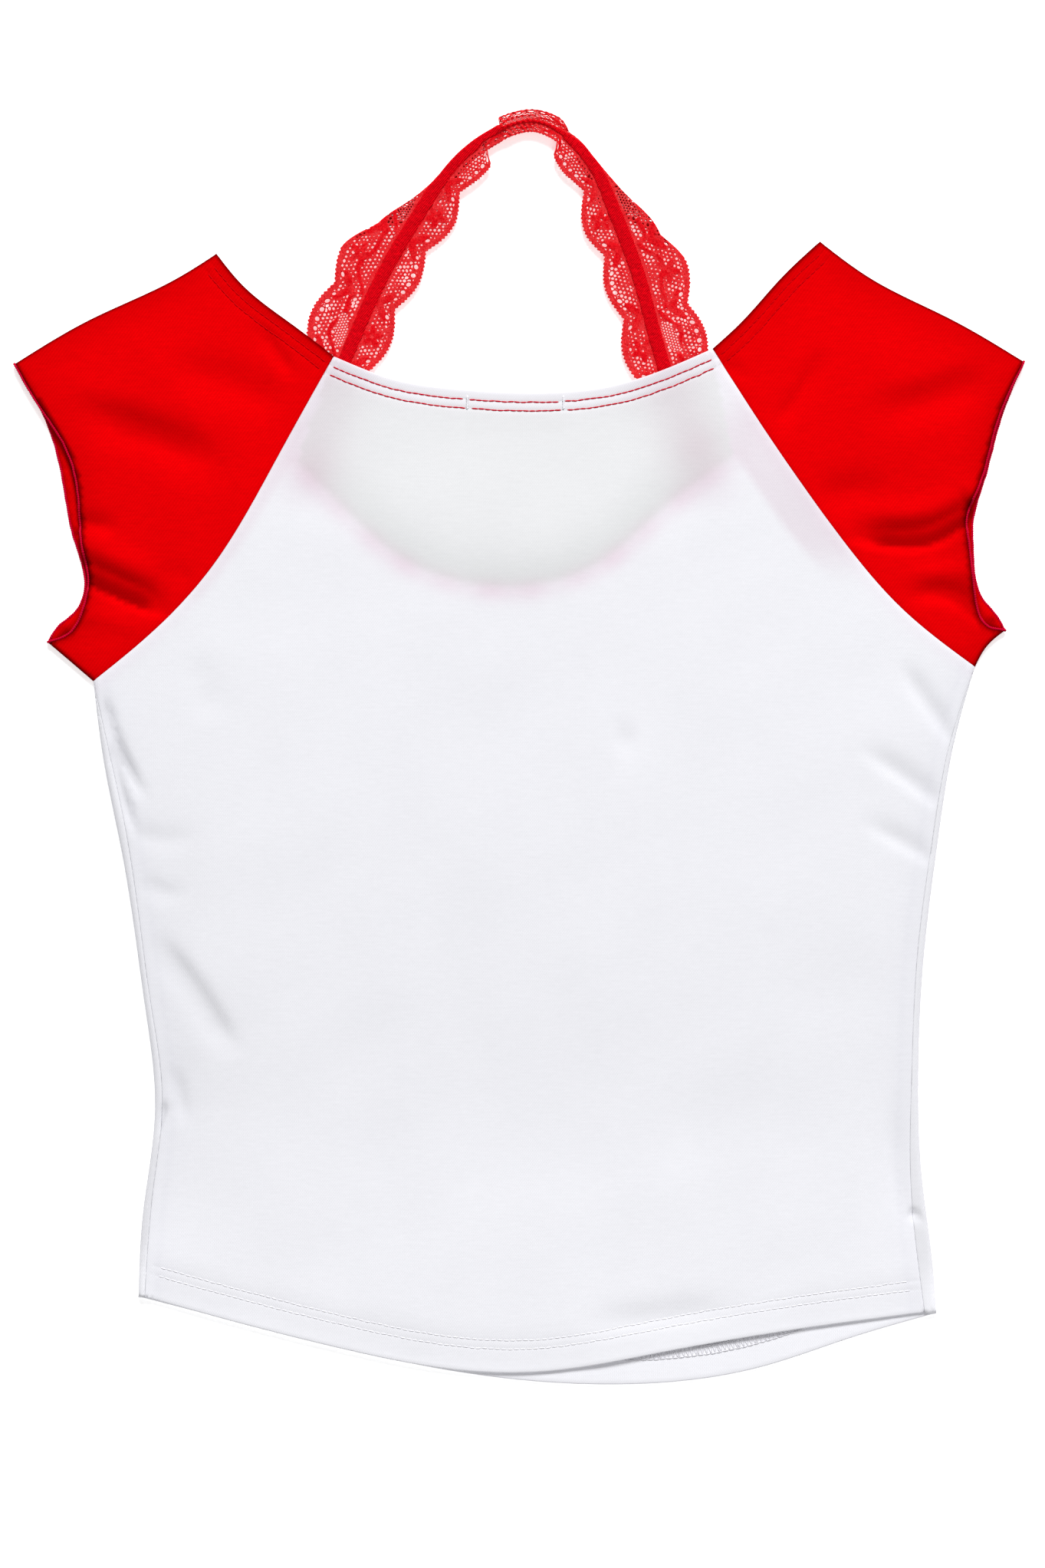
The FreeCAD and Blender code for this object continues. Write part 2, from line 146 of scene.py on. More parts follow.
# Folds in the cloth: points, depth, softness to the left and right of the line, taper at start and end.
FOLDS = [
    # left sleeve
    ([(-203, 78), (-184, 69.5), (-170, 63.5), (-157, 59)], 6.6, 9.0, 2.0, 0.05, 0.4),
    ([(-204, 101), (-192, 100), (-180, 98)], 3.0, 5.0, 2.5, 0.1, 0.6),
    ([(-210, 156.5), (-178.5, 146), (-152, 135.5), (-129, 119)], 3.4, 9.5, 10.0, 0.4, 0.35),
    ([(-166, 173), (-131.5, 165), (-104, 150)], 2.2, 9.0, 9.0, 0.4, 0.3),
    ([(-121, 193), (-111, 180), (-101, 166)], 1.5, 3.0, 3.5, 0.35, 0.35),
    ([(-165, 84), (-154, 78), (-146, 80)], 0.7, 5.0, 5.0, 0.4, 0.4),
    ([(-212, 97), (-186, 86), (-158, 72)], -2.2, 7.0, 6.0, 0.1, 0.4),
    ([(-212, 64), (-186, 58), (-164, 51)], -1.0, 5.0, 5.0, 0.3, 0.4),
    ([(-214, 166), (-170, 153), (-130, 136)], -0.9, 8.0, 6.0, 0.3, 0.4),
    # right sleeve
    ([(210, 107.5), (197.5, 99), (188.5, 94), (168, 92.5), (145, 96)], 6.0, 2.1, 9.0, 0.05, 0.35),
    ([(212, 55), (199, 67), (188.5, 69.5), (172, 66)], 3.4, 3.4, 5.0, 0.2, 0.45),
    ([(139, 184), (129.5, 163.5), (115, 143)], 2.0, 4.0, 4.0, 0.4, 0.3),
    ([(217, 171), (183.5, 156.5), (152, 151)], 2.6, 8.5, 9.0, 0.35, 0.45),
    ([(132, 111), (152, 116), (176, 116)], 2.2, 8.0, 9.0, 0.3, 0.5),
    ([(91, 176), (98, 171), (107, 168)], 0.7, 3.5, 3.5, 0.3, 0.5),
    ([(214, 120), (190, 108), (150, 106)], -2.3, 6.0, 6.0, 0.1, 0.4),
    ([(214, 80), (196, 80), (168, 78)], -1.3, 5.0, 4.0, 0.2, 0.45),
    ([(216, 182), (184, 168), (150, 160)], -0.8, 7.0, 7.0, 0.3, 0.4),
    # body, left side
    ([(-168, -82), (-143, -114.5), (-126, -143)], 1.7, 4.0, 8.0, 0.35, 0.3),
    ([(-158, -142), (-154, -158), (-152, -176)], 1.0, 3.2, 3.2, 0.4, 0.5),
    ([(-160.5, -160), (-164, -172), (-168, -184)], 3.2, 1.4, 2.2, 0.25, 0.1),
    ([(-190, 26), (-182, 0), (-168, -26)], 2.6, 2.0, 3.6, 0.2, 0.4),
    ([(-186, 4), (-180, -22), (-172, -44)], 2.0, 1.6, 3.0, 0.2, 0.4),
    ([(-150, 46), (-143, 28), (-139, 8)], 0.7, 9.0, 9.0, 0.4, 0.4),
    ([(-176, -38), (-160, -42), (-142, -38)], 0.6, 5.0, 5.0, 0.2, 0.6),
    ([(-172, -60), (-160, -66), (-146, -64)], 0.6, 4.0, 5.0, 0.2, 0.6),
    # body, right side
    ([(150, 2), (170, -10), (192, -26)], 1.4, 6.0, 3.4, 0.5, 0.1),
    ([(152, -32), (170, -41), (189, -52)], 1.1, 5.5, 3.2, 0.5, 0.1),
    ([(172, 41), (184, 22), (199, 2)], 1.5, 5.0, 3.6, 0.4, 0.1),
    ([(176, -210), (181, -213), (186, -216)], 2.6, 1.4, 2.0, 0.3, 0.1),
    ([(170, -150), (172, -190), (178, -228)], 0.8, 5.0, 4.0, 0.4, 0.3),
    # body, middle and hem
    ([(40, 3), (48, 3.5), (56, 3)], 0.7, 7.0, 7.0, 0.5, 0.5),
    ([(-60, -120), (0, -135), (70, -125)], 0.5, 26.0, 26.0, 0.5, 0.5),
    ([(-90, 30), (-20, 18), (60, 34)], 0.4, 22.0, 22.0, 0.5, 0.5),
    ([(20, -262), (62, -258), (108, -252)], 1.0, 7.0, 6.0, 0.4, 0.4),
]


# ---- curves
def dense(points, step=STEP):
    """Evenly spaced points on the natural cubic spline through a few."""
    knots = np.array(points, float)
    if len(knots) == 2:
        count = max(2, int(round(np.linalg.norm(knots[1] - knots[0]) / step)) + 1)
        share = np.linspace(0, 1, count)[:, None]
        return knots[0] * (1 - share) + knots[1] * share
    at = np.r_[0, np.cumsum(np.linalg.norm(np.diff(knots, axis=0), axis=1))]
    gap = np.diff(at)
    system = np.eye(len(knots))
    target = np.zeros_like(knots)
    for k in range(1, len(knots) - 1):
        system[k, k - 1:k + 2] = gap[k - 1], 2 * (gap[k - 1] + gap[k]), gap[k]
        target[k] = 6 * ((knots[k + 1] - knots[k]) / gap[k] - (knots[k] - knots[k - 1]) / gap[k - 1])
    bend = np.linalg.solve(system, target)
    u = np.linspace(0, at[-1], 40 * len(knots))
    k = np.clip(np.searchsorted(at, u, side="right") - 1, 0, len(gap) - 1)
    a = ((at[k + 1] - u) / gap[k])[:, None]
    b = 1 - a
    h2 = (gap[k] ** 2)[:, None] / 6
    line = a * knots[k] + b * knots[k + 1] + ((a ** 3 - a) * bend[k] + (b ** 3 - b) * bend[k + 1]) * h2
    return resample(line, step)


def resample(line, step):
    length = np.r_[0, np.cumsum(np.linalg.norm(np.diff(line, axis=0), axis=1))]
    count = max(3, int(round(length[-1] / step)) + 1)
    even = np.linspace(0, length[-1], count)
    return np.stack([np.interp(even, length, line[:, c]) for c in range(line.shape[1])], axis=1)


def normals(line):
    """Unit normals to the left of the direction of travel, in plan."""
    along = np.gradient(line[:, :2], axis=0)
    along /= np.linalg.norm(along, axis=1)[:, None]
    return np.stack([-along[:, 1], along[:, 0]], axis=1)


def to_line(xy, line):
    """Distance from each point to a polyline, signed side (left is +1) and share of the way along."""
    start = line[:-1, :2]
    step = line[1:, :2] - start
    size = (step ** 2).sum(1)
    length = np.r_[0, np.cumsum(np.sqrt(size))]
    best = np.full(len(xy), 1e9)
    side = np.ones(len(xy))
    share = np.zeros(len(xy))
    for k in range(len(start)):
        off = xy - start[k]
        t = np.clip(off @ step[k] / size[k], 0, 1)
        away = np.hypot(off[:, 0] - t * step[k, 0], off[:, 1] - t * step[k, 1])
        near = away < best
        best[near] = away[near]
        cross = step[k, 0] * off[:, 1] - step[k, 1] * off[:, 0]
        side[near] = np.sign(cross[near])
        share[near] = (length[k] + t[near] * math.sqrt(size[k])) / length[-1]
    return best, side, share


def nearest(xy, lines):
    return np.min([to_line(xy, line)[0] for line in lines], axis=0)


def ramp(value, low, high):
    share = np.clip((value - low) / (high - low), 0.0, 1.0)
    return share * share * (3 - 2 * share)


def inside(xy, loop):
    """Which points lie inside a closed loop."""
    x, y = xy[:, 0], xy[:, 1]
    hit = np.zeros(len(xy), bool)
    ax, ay = loop[:, 0], loop[:, 1]
    bx, by = np.roll(ax, -1), np.roll(ay, -1)
    for k in range(len(loop)):
        crosses = (ay[k] > y) != (by[k] > y)
        if ay[k] != by[k]:
            hit ^= crosses & (x < (bx[k] - ax[k]) * (y - ay[k]) / (by[k] - ay[k]) + ax[k])
    return hit


LINES = {name: dense(points) for name, points in RUNS.items()}
FOLDED_EDGES = [LINES[n] for n in ("LEFT_SIDE", "RIGHT_SIDE", "LEFT_SHOULDER", "RIGHT_SHOULDER",
                                   "LEFT_UNDERARM", "RIGHT_UNDERARM")]
OPEN_EDGES = [LINES[n] for n in ("BACK_HEM", "LEFT_CUFF", "RIGHT_CUFF", "BACK_NECK", "LEFT_NECK_SIDE",
                                 "RIGHT_NECK_SIDE")]
BACK_SEAMS = [LINES[n] for n in ("LEFT_RAGLAN", "RIGHT_RAGLAN", "LEFT_SEAM", "RIGHT_SEAM")]


# ---- the lie of the cloth
def ripples(xy, waves=14, low=26.0, high=90.0):
    """Slow uneven waves, the same everywhere a point is asked for."""
    draw = np.random.default_rng(31)
    total = np.zeros(len(xy))
    for _ in range(waves):
        angle = draw.uniform(0, math.pi)
        size = draw.uniform(low, high)
        phase = draw.uniform(0, 2 * math.pi)
        along = xy[:, 0] * math.cos(angle) + xy[:, 1] * math.sin(angle)
        total += np.sin(along * 2 * math.pi / size + phase) * size
    return total / (waves * high)


FOLD_LINES = [(dense(points, 3.0), *rest) for points, *rest in FOLDS]


def fold_depth(xy):
    total = np.zeros(len(xy))
    for line, depth, left, right, start, end in FOLD_LINES:
        reach = 3 * max(left, right)
        low, high = line.min(0) - reach, line.max(0) + reach
        near = ((xy > low) & (xy < high)).all(axis=1)
        if not near.any():
            continue
        away, side, share = to_line(xy[near], line)
        width = np.where(side > 0, left, right)
        taper = ramp(share, 0.0, start) * ramp(1 - share, 0.0, end)
        total[near] += depth * np.exp(-(away / width) ** 2) * taper
    return total


def rounding(away, reach):
    """0 at a folded edge, rising as a quarter circle to 1."""
    return np.sqrt(np.clip(1 - (1 - np.minimum(away, reach) / reach) ** 2, 0, 1))


def upper(xy, groove=True):
    """Height of the outer face of the side that lies up."""
    fold = nearest(xy, FOLDED_EDGES)
    open_edge = nearest(xy, OPEN_EDGES)
    loft = DOME * (1 - np.exp(-(fold / DOME_REACH) ** 2)) * (0.12 + 0.88 * ramp(open_edge, 0, 80))
    z = EDGE_MID + (EDGE_TOP - EDGE_MID) * rounding(fold, EDGE_R) + loft
    hem_away, _, hem_share = to_line(xy, LINES["BACK_HEM"])
    low_hem = 0.55 + 0.6 * ramp(np.abs(hem_share - 0.7), 0.1, 0.16)
    z -= low_hem * (1 - ramp(hem_away, 0, 24)) * ramp(fold, 0, 10)
    for x, y in ((-80, 176), (74, 176)):
        z += 1.5 * np.exp(-((xy[:, 0] - x) ** 2 + (xy[:, 1] - y) ** 2) / 30.0 ** 2)
    settle = 1 - np.exp(-(fold / 5.0) ** 2)
    z += 0.9 * ripples(xy) * settle * ramp(open_edge, -4, 26)
    z -= fold_depth(xy) * settle
    z = np.where(z < 3.2, 3.2 - 0.9 * np.tanh((3.2 - z) / 0.9), z)
    if groove:
        raglan, side_seam = nearest(xy, BACK_SEAMS[:2]), nearest(xy, BACK_SEAMS[2:])
        z -= (0.38 * np.exp(-raglan / 0.55) + 0.2 * np.exp(-(raglan / 2.6) ** 2)) * ramp(fold, 0, 1.5)
        z -= 0.22 * np.exp(-side_seam / 0.55) * ramp(fold, 0, 1.5)
    return z


def lower(xy):
    """Height of the outer face of the side that lies on the floor."""
    fold = nearest(xy, FOLDED_EDGES)
    uneven = 0.12 * (1 + ripples(xy)) * ramp(fold, 2, 12)
    return EDGE_MID - (EDGE_MID - FLOOR_GAP) * rounding(fold, EDGE_R) + uneven


# ---- meshing
def chain(*runs):
    """One closed loop from runs that follow each other."""
    return np.concatenate([run[:-1] for run in runs])


def sheet_mesh(loop, fine=(), spacing=GRID):
    """Flat triangle mesh inside a loop: fine rows beside chosen lines and an even grid elsewhere."""
    keep = []
    for line, distances in fine:
        for distance in distances:
            for sign in (1, -1):
                row = line[:, :2] + sign * distance * normals(line)
                good = to_line(row, line)[0] > 0.97 * distance
                keep.append(row[good])
    extra = np.concatenate(keep) if keep else np.zeros((0, 2))
    closed = np.vstack([loop, loop[:1]])
    if len(extra):
        extra = extra[inside(extra, loop)]
        extra = extra[to_line(extra, closed)[0] > 0.07]
        cells = {}
        for k, (x, y) in enumerate(extra):
            cells.setdefault((round(x / 0.12), round(y / 0.12)), k)
        extra = extra[sorted(cells.values())]
    low, high = loop.min(0), loop.max(0)
    tall = spacing * math.sqrt(3) / 2
    nx, ny = int((high[0] - low[0]) / spacing) + 2, int((high[1] - low[1]) / tall) + 2
    i, j = np.meshgrid(np.arange(nx), np.arange(ny))
    grid = np.stack([low[0] + (i + 0.5 * (j % 2)) * spacing, low[1] + j * tall], axis=-1).reshape(-1, 2)
    grid = grid[inside(grid, loop)]
    grid = grid[to_line(grid, closed)[0] > 0.6 * spacing]
    for line, distances in fine:
        grid = grid[to_line(grid, line)[0] > max(distances) + 0.5 * spacing]
    points = [Vector(p) for p in np.concatenate([loop, extra, grid]).tolist()]
    count = len(loop)
    edges = [(k, (k + 1) % count) for k in range(count)]
    flat, _, faces, _, _, _ = geometry.delaunay_2d_cdt(points, edges, [list(range(count))], 1, 1e-5)
    return np.array([tuple(p) for p in flat]), [list(f) for f in faces]


def new_object(name, verts, faces, material, smooth=True):
    mesh = bpy.data.meshes.new(name)
    mesh.from_pydata((np.asarray(verts) * MM).tolist(), [], faces)
    mesh.validate()
    mesh.polygons.foreach_set("use_smooth", [smooth] * len(mesh.polygons))
    mesh.materials.append(material)
    obj = bpy.data.objects.new(name, mesh)
    bpy.context.scene.collection.objects.link(obj)
    return obj


def quads(rows, wide, flip=False):
    """Faces of a grid of points, row after row."""
    faces = []
    for k in range(rows - 1):
        for j in range(wide - 1):
            a = k * wide + j
            face = [a, a + 1, a + 1 + wide, a + wide]
            faces.append(face[::-1] if flip else face)
    return faces


def join(parts):
    """Several (verts, faces) as one."""
    verts, faces, base = [], [], 0
    for v, f in parts:
        verts.append(np.asarray(v, float))
        faces += [[base + k for k in face] for face in f]
        base += len(v)
    return np.concatenate(verts), faces


def weld(obj, tolerance=0.02):
    """Merge the points that sheets of one piece share along their edges."""
    bm = bmesh.new()
    bm.from_mesh(obj.data)
    bmesh.ops.remove_doubles(bm, verts=bm.verts, dist=tolerance * MM)
    bmesh.ops.dissolve_degenerate(bm, edges=bm.edges, dist=0.001 * MM)
    bm.to_mesh(obj.data)
    bm.free()
    obj.data.polygons.foreach_set("use_smooth", [True] * len(obj.data.polygons))
    return obj


def thicken(obj, thickness=CLOTH):
    """Give the cloth its thickness, inwards from its outer face."""
    solid = obj.modifiers.new("cloth", "SOLIDIFY")
    solid.thickness = thickness * MM
    solid.offset = -1.0
    solid.use_even_offset = False
    solid.use_quality_normals = True
    bpy.context.view_layer.objects.active = obj
    with bpy.context.temp_override(object=obj, active_object=obj, selected_objects=[obj]):
        bpy.ops.object.modifier_apply(modifier=solid.name)
    return obj


# ---- materials
def srgb(*display):
    """Linear colour of an 8 bit display colour."""
    linear = [(c / 255 / 12.92) if c <= 10 else ((c / 255 + 0.055) / 1.055) ** 2.4 for c in display]
    return (*linear, 1.0)


class Shader:
    """Small helper that adds nodes to one material."""

    def __init__(self, name, roughness, sheen=0.0, shine=0.0):
        self.material = bpy.data.materials.new(name)
        self.material.use_nodes = True
        self.tree = self.material.node_tree
        self.surface = self.tree.nodes["Principled BSDF"]
        self.surface.inputs["Roughness"].default_value = roughness
        self.surface.inputs["Sheen Weight"].default_value = sheen
        self.surface.inputs["Sheen Roughness"].default_value = 0.5
        self.surface.inputs["Specular IOR Level"].default_value = shine

    def add(self, kind, **settings):
        node = self.tree.nodes.new(kind)
        for key, value in settings.items():
            if hasattr(node, key):
                setattr(node, key, value)
            else:
                node.inputs[key.replace("_", " ")].default_value = value
        return node

    def link(self, out, into):
        self.tree.links.new(out, into)

    def place(self, turn=0.0):
        """Object coordinates, turned about Z."""
        where = self.add("ShaderNodeTexCoord")
        mapping = self.add("ShaderNodeMapping")
        mapping.inputs["Rotation"].default_value = (0, 0, math.radians(turn))
        self.link(where.outputs["Object"], mapping.inputs["Vector"])
        return mapping.outputs["Vector"]

    def waves(self, period, turn, distortion=0.0, detail=1.0):
        """Bands of that period in millimetres."""
        wave = self.add("ShaderNodeTexWave", Scale=0.3142 / (period * MM), Distortion=distortion,
                        Detail=detail, Detail_Scale=1.5)
        self.link(self.place(turn), wave.inputs["Vector"])
        return wave.outputs["Fac"]

    def noise(self, size, detail=3.0, roughness=0.6, stretch=1.0):
        """Noise with features of that size in millimetres, stretched along X."""
        node = self.add("ShaderNodeTexNoise", Scale=1 / (size * MM), Detail=detail, Roughness=roughness)
        where = self.place()
        where.node.inputs["Scale"].default_value = (1 / stretch, 1, 1)
        self.link(where, node.inputs["Vector"])
        return node.outputs["Fac"]

    def spread(self, value, low, high):
        """A 0 to 1 value as a factor between low and high."""
        node = self.add("ShaderNodeMapRange")
        node.inputs["To Min"].default_value = low
        node.inputs["To Max"].default_value = high
        self.link(value, node.inputs["Value"])
        return node.outputs["Result"]

    def math(self, operation, a, b):
        node = self.add("ShaderNodeMath", operation=operation)
        self.link(a, node.inputs[0])
        self.link(b, node.inputs[1])
        return node.outputs[0]

    def times(self, a, b):
        return self.math("MULTIPLY", a, b)

    def plus(self, a, b):
        return self.math("ADD", a, b)

    def tinted(self, colour, factor):
        """A colour or colour output, times a factor."""
        node = self.add("ShaderNodeVectorMath", operation="SCALE")
        if isinstance(colour, tuple):
            node.inputs[0].default_value = colour[:3]
        else:
            self.link(colour, node.inputs[0])
        self.link(factor, node.inputs["Scale"])
        return node.outputs[0]

    def mixed(self, factor, a, b):
        node = self.add("ShaderNodeMix", data_type="RGBA")
        self.link(factor, node.inputs["Factor"])
        for socket, colour in (("A", a), ("B", b)):
            into = [i for i in node.inputs if i.name == socket and i.type == "RGBA"][0]
            if isinstance(colour, tuple):
                into.default_value = colour
            else:
                self.link(colour, into)
        return [o for o in node.outputs if o.type == "RGBA"][0]

    def bump(self, height, depth, strength=1.0):
        """Raise the surface by a height times a depth in millimetres."""
        node = self.add("ShaderNodeBump", Strength=strength, Distance=depth * MM)
        self.link(height, node.inputs["Height"])
        self.link(node.outputs["Normal"], self.surface.inputs["Normal"])

    def colour(self, output):
        self.link(output, self.surface.inputs["Base Color"])


def jersey(name, colour, wale=0.9, slant=36.0, contrast=0.05, painted=False):
    """Fine knit: upright wales, slanted rows of loops, faint mottling."""
    s = Shader(name, 0.9)
    wales = s.waves(wale * 0.62, 0, 0.4)
    slanted = s.waves(wale, slant, 0.5)
    mottle = s.noise(2.2, 4.0)
    broad = s.noise(34.0, 2.0)
    slubs = s.noise(1.1, 4.0, 0.7, stretch=7.0)
    factor = s.spread(slanted, 1 - contrast, 1 + contrast)
    factor = s.times(factor, s.spread(mottle, 1 - contrast, 1 + contrast))
    factor = s.times(factor, s.spread(broad, 0.975, 1.02))
    factor = s.times(factor, s.spread(slubs, 1 - 2.2 * contrast, 1 + 2.2 * contrast))
    base = colour
    # painted pieces: the colour times their stored factors, which hold show-through and painted shade
    if painted:
        tint_and_shade = s.add("ShaderNodeAttribute", attribute_name="tint_and_shade")
        paint = s.add("ShaderNodeVectorMath", operation="MULTIPLY")
        s.link(tint_and_shade.outputs["Color"], paint.inputs[0])
        paint.inputs[1].default_value = colour[:3]
        base = paint.outputs[0]
    s.colour(s.tinted(base, factor))
    s.bump(s.plus(s.times(wales, slanted), s.spread(mottle, 0.0, 0.6)), 0.12, 0.5)
    return s.material


def thread(name, colour, ply=0.55, contrast=0.18):
    """Spun sewing thread with a twist and a soft sheen."""
    s = Shader(name, 0.6, 0.03)
    twist = s.waves(ply, 55, 0.6)
    fluff = s.noise(0.7, 3.0)
    factor = s.times(s.spread(twist, 1 - contrast, 1 + contrast), s.spread(fluff, 0.86, 1.12))
    s.colour(s.tinted(colour, factor))
    s.bump(s.plus(twist, fluff), 0.08, 0.6)
    return s.material


def lace_material(name):
    """Nylon lace: filled motifs redder and duller, fine net paler and brighter, thread speckle all over."""
    s = Shader(name, 0.6, 0.02)
    filled = s.add("ShaderNodeAttribute", attribute_name="filled")
    speckle = s.noise(0.75, 2.0, 0.7)
    threads = s.waves(0.55, 20, 3.0, 2.0)
    broad = s.noise(9.0, 2.0)
    solid = s.mixed(s.spread(speckle, -0.9, 1.9), srgb(200, 0, 13), srgb(250, 26, 36))
    net = s.mixed(s.spread(speckle, -0.6, 1.6), srgb(216, 18, 30), srgb(250, 84, 86))
    both = s.mixed(filled.outputs["Fac"], net, solid)
    s.colour(s.tinted(both, s.times(s.spread(threads, 0.86, 1.12), s.spread(broad, 0.92, 1.08))))
    s.bump(s.plus(speckle, threads), 0.16, 0.8)
    return s.material


def elastic_material(name):
    """Dense chenille-like rib, darker than the lace."""
    s = Shader(name, 0.8, 0.02)
    loops = s.noise(1.3, 3.0, 0.75)
    rows = s.waves(0.8, 40, 2.5)
    s.colour(s.tinted(srgb(228, 4, 20), s.times(s.spread(loops, 0.45, 1.5), s.spread(rows, 0.9, 1.08))))
    s.bump(s.plus(loops, rows), 0.4, 0.8)
    return s.material


def label_material(name):
    """Woven satin tape."""
    s = Shader(name, 0.45, 0.05, 0.2)
    warp = s.waves(0.3, 0)
    weft = s.waves(0.5, 90)
    s.colour(s.tinted(srgb(244, 244, 242), s.spread(s.times(warp, weft), 0.93, 1.0)))
    s.bump(s.plus(warp, weft), 0.05, 0.5)
    return s.material


WHITE = jersey("white jersey", srgb(234, 234, 239), contrast=0.02, painted=True)
RED = jersey("red jersey", srgb(222, 1, 5), wale=1.25, contrast=0.07, painted=True)
LACE = lace_material("red lace")
ELASTIC = elastic_material("lace rib")
RED_THREAD = thread("red thread", srgb(200, 8, 42))
SLEEVE_THREAD = thread("sleeve thread", srgb(205, 0, 8))
WHITE_THREAD = thread("white thread", srgb(238, 237, 242), contrast=0.05)
EDGE_THREAD = thread("rolled edge thread", srgb(196, 4, 46))
LABEL = label_material("label satin")


# ---- jersey pieces
FOLD_ROWS = (0.12, 0.35, 0.75, 1.3, 2.0, 2.8)
SEAM_ROWS = (0.3, 0.7, 1.3, 2.2, 3.4)
NECK_FINE = (0.1, 0.3, 0.75, 1.8, 3.2, 4.0, 4.5, 5.0, 6.5, 8.0, 8.5, 9.0, 10.2)
HEM_FINE = (0.1, 0.3, 0.75, 2.2, 4.4, 7.0, 9.5, 10.5, 11.0, 11.5, 13.0, 14.5, 15.0, 15.5, 17.0)
TURN_FINE = (0.1, 0.3, 0.75, 2.4)


def turned(xy, edges):
    """How far the outer face drops where it rolls over a turned edge, and the dents along its stitch rows."""
    drop = np.zeros(len(xy))
    dents = np.zeros(len(xy))
    for line, rows in edges:
        away = to_line(xy, line)[0]
        drop = np.maximum(drop, TURN_R * (1 - rounding(away, TURN_R)))
        for row in rows:
            dents += (0.1 if rows == HEM_ROWS else 0.25) * np.exp(-((away - row) / 0.5) ** 2)
    return drop, dents


def counter_clockwise(loop):
    x, y = loop[:, 0], loop[:, 1]
    area = (x * np.roll(y, -1) - y * np.roll(x, -1)).sum()
    return loop if area > 0 else loop[::-1]


def layer(loop, fine, height, face_up=True):
    """One sheet over a loop, at a height worked out for every point."""
    flat, faces = sheet_mesh(counter_clockwise(loop), fine)
    if not face_up:
        faces = [face[::-1] for face in faces]
    return np.column_stack([flat, height(flat)]), faces


def turned_band(line, depth, loop):
    """The loop of the strip that is turned in along an edge."""
    middle = line[len(line) // 2] + 0.5 * normals(line)[len(line) // 2]
    side = 1 if inside(middle[None], loop)[0] else -1
    row = line + side * depth * normals(line)
    row = row[inside(row, loop) & (to_line(row, line)[0] > 0.97 * depth)]
    return np.vstack([line, row[::-1]])


def piece_sheets(loop, edges, fine, face_up):
    """A piece with its turned edges: they lie beneath it on the upper side and above it on the floor side."""
    def outer(xy):
        drop, dents = turned(xy, edges)
        return upper(xy) - drop - dents if face_up else lower(xy) + drop

    def inner(xy):
        drop, _ = turned(xy, edges)
        return upper(xy) - 2 * TURN_R + drop if face_up else lower(xy) + 2 * TURN_R - drop

    sheets = [layer(loop, fine, outer, face_up)]
    for line, rows in edges:
        depth = HEM_TURN if rows == HEM_ROWS else NECK_TURN
        sheets.append(layer(turned_band(line, depth, loop), [(line, TURN_FINE)], inner, not face_up))
    return sheets


def stands_for(obj, node, body="garment"):
    """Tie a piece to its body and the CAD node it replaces."""
    if body == "bends":
        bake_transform(obj)
    else:
        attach(obj, body)
    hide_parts(node)
    return obj


def finish_piece(name, sheets, material, node):
    obj = weld(new_object(name, *join(sheets), material))
    return stands_for(thicken(obj), node)


def L(name, reverse=False):
    return LINES[name][::-1] if reverse else LINES[name]


BACK_LOOP = chain(L("BACK_NECK"), L("RIGHT_RAGLAN"), L("RIGHT_SEAM"), L("BACK_HEM", True),
                  L("LEFT_SEAM", True), L("LEFT_RAGLAN", True))
FRONT_LOOP = chain(L("FRONT_NECK"), L("RIGHT_FRONT_RAGLAN"), L("RIGHT_SIDE"), L("FRONT_HEM", True),
                   L("LEFT_SIDE", True), L("LEFT_FRONT_RAGLAN", True))


def back_panel():
    edges = [(L("BACK_NECK"), NECK_ROWS), (L("BACK_HEM"), HEM_ROWS)]
    fine = [(L("BACK_NECK"), NECK_FINE), (L("BACK_HEM"), HEM_FINE)]
    fine += [(line, SEAM_ROWS) for line in BACK_SEAMS]
    sheets = piece_sheets(BACK_LOOP, edges, fine, True)
    return finish_piece("back_panel_cloth", sheets, WHITE, "back_panel")


def front_panel():
    edges = [(L("FRONT_NECK"), NECK_ROWS), (L("FRONT_HEM"), HEM_ROWS)]
    fine = [(L("FRONT_NECK"), NECK_FINE), (L("FRONT_HEM"), HEM_FINE), (L("LEFT_SIDE"), FOLD_ROWS),
            (L("RIGHT_SIDE"), FOLD_ROWS)]
    sheets = piece_sheets(FRONT_LOOP, edges, fine, False)
    for side in ("LEFT", "RIGHT"):
        edge, seam = L(side + "_SIDE"), L(side + "_SEAM")
        wrap = np.vstack([edge, seam[::-1][:-1]])
        sheets.append(layer(wrap, [(edge, FOLD_ROWS), (seam, SEAM_ROWS[:3])], upper))
    return finish_piece("front_panel_cloth", sheets, WHITE, "front_panel")


def sleeve(side):
    neck, front_neck = L(side + "_NECK_SIDE"), L(side + "_FRONT_NECK_SIDE")
    shoulder, underarm = L(side + "_SHOULDER"), L(side + "_UNDERARM")
    cuff, front_cuff = L(side + "_CUFF"), L(side + "_FRONT_CUFF")
    raglan, front_raglan = L(side + "_RAGLAN"), L(side + "_FRONT_RAGLAN")
    folds = [(shoulder, FOLD_ROWS), (underarm, FOLD_ROWS)]
    leaf = chain(neck, shoulder, cuff, underarm, raglan[::-1])
    front_leaf = chain(front_neck, shoulder, front_cuff, underarm, front_raglan[::-1])
    fine = folds + [(neck, NECK_FINE), (raglan, SEAM_ROWS)]
    sheets = piece_sheets(leaf, [(neck, NECK_ROWS)], fine, True)
    fine = folds + [(front_neck, TURN_FINE)]
    sheets += piece_sheets(front_leaf, [(front_neck, NECK_ROWS)], fine, False)
    word = side.lower() + "_sleeve"
    return finish_piece(word + "_cloth", sheets, RED, word)


back = back_panel()
front = front_panel()
left_sleeve = sleeve("LEFT")
right_sleeve = sleeve("RIGHT")


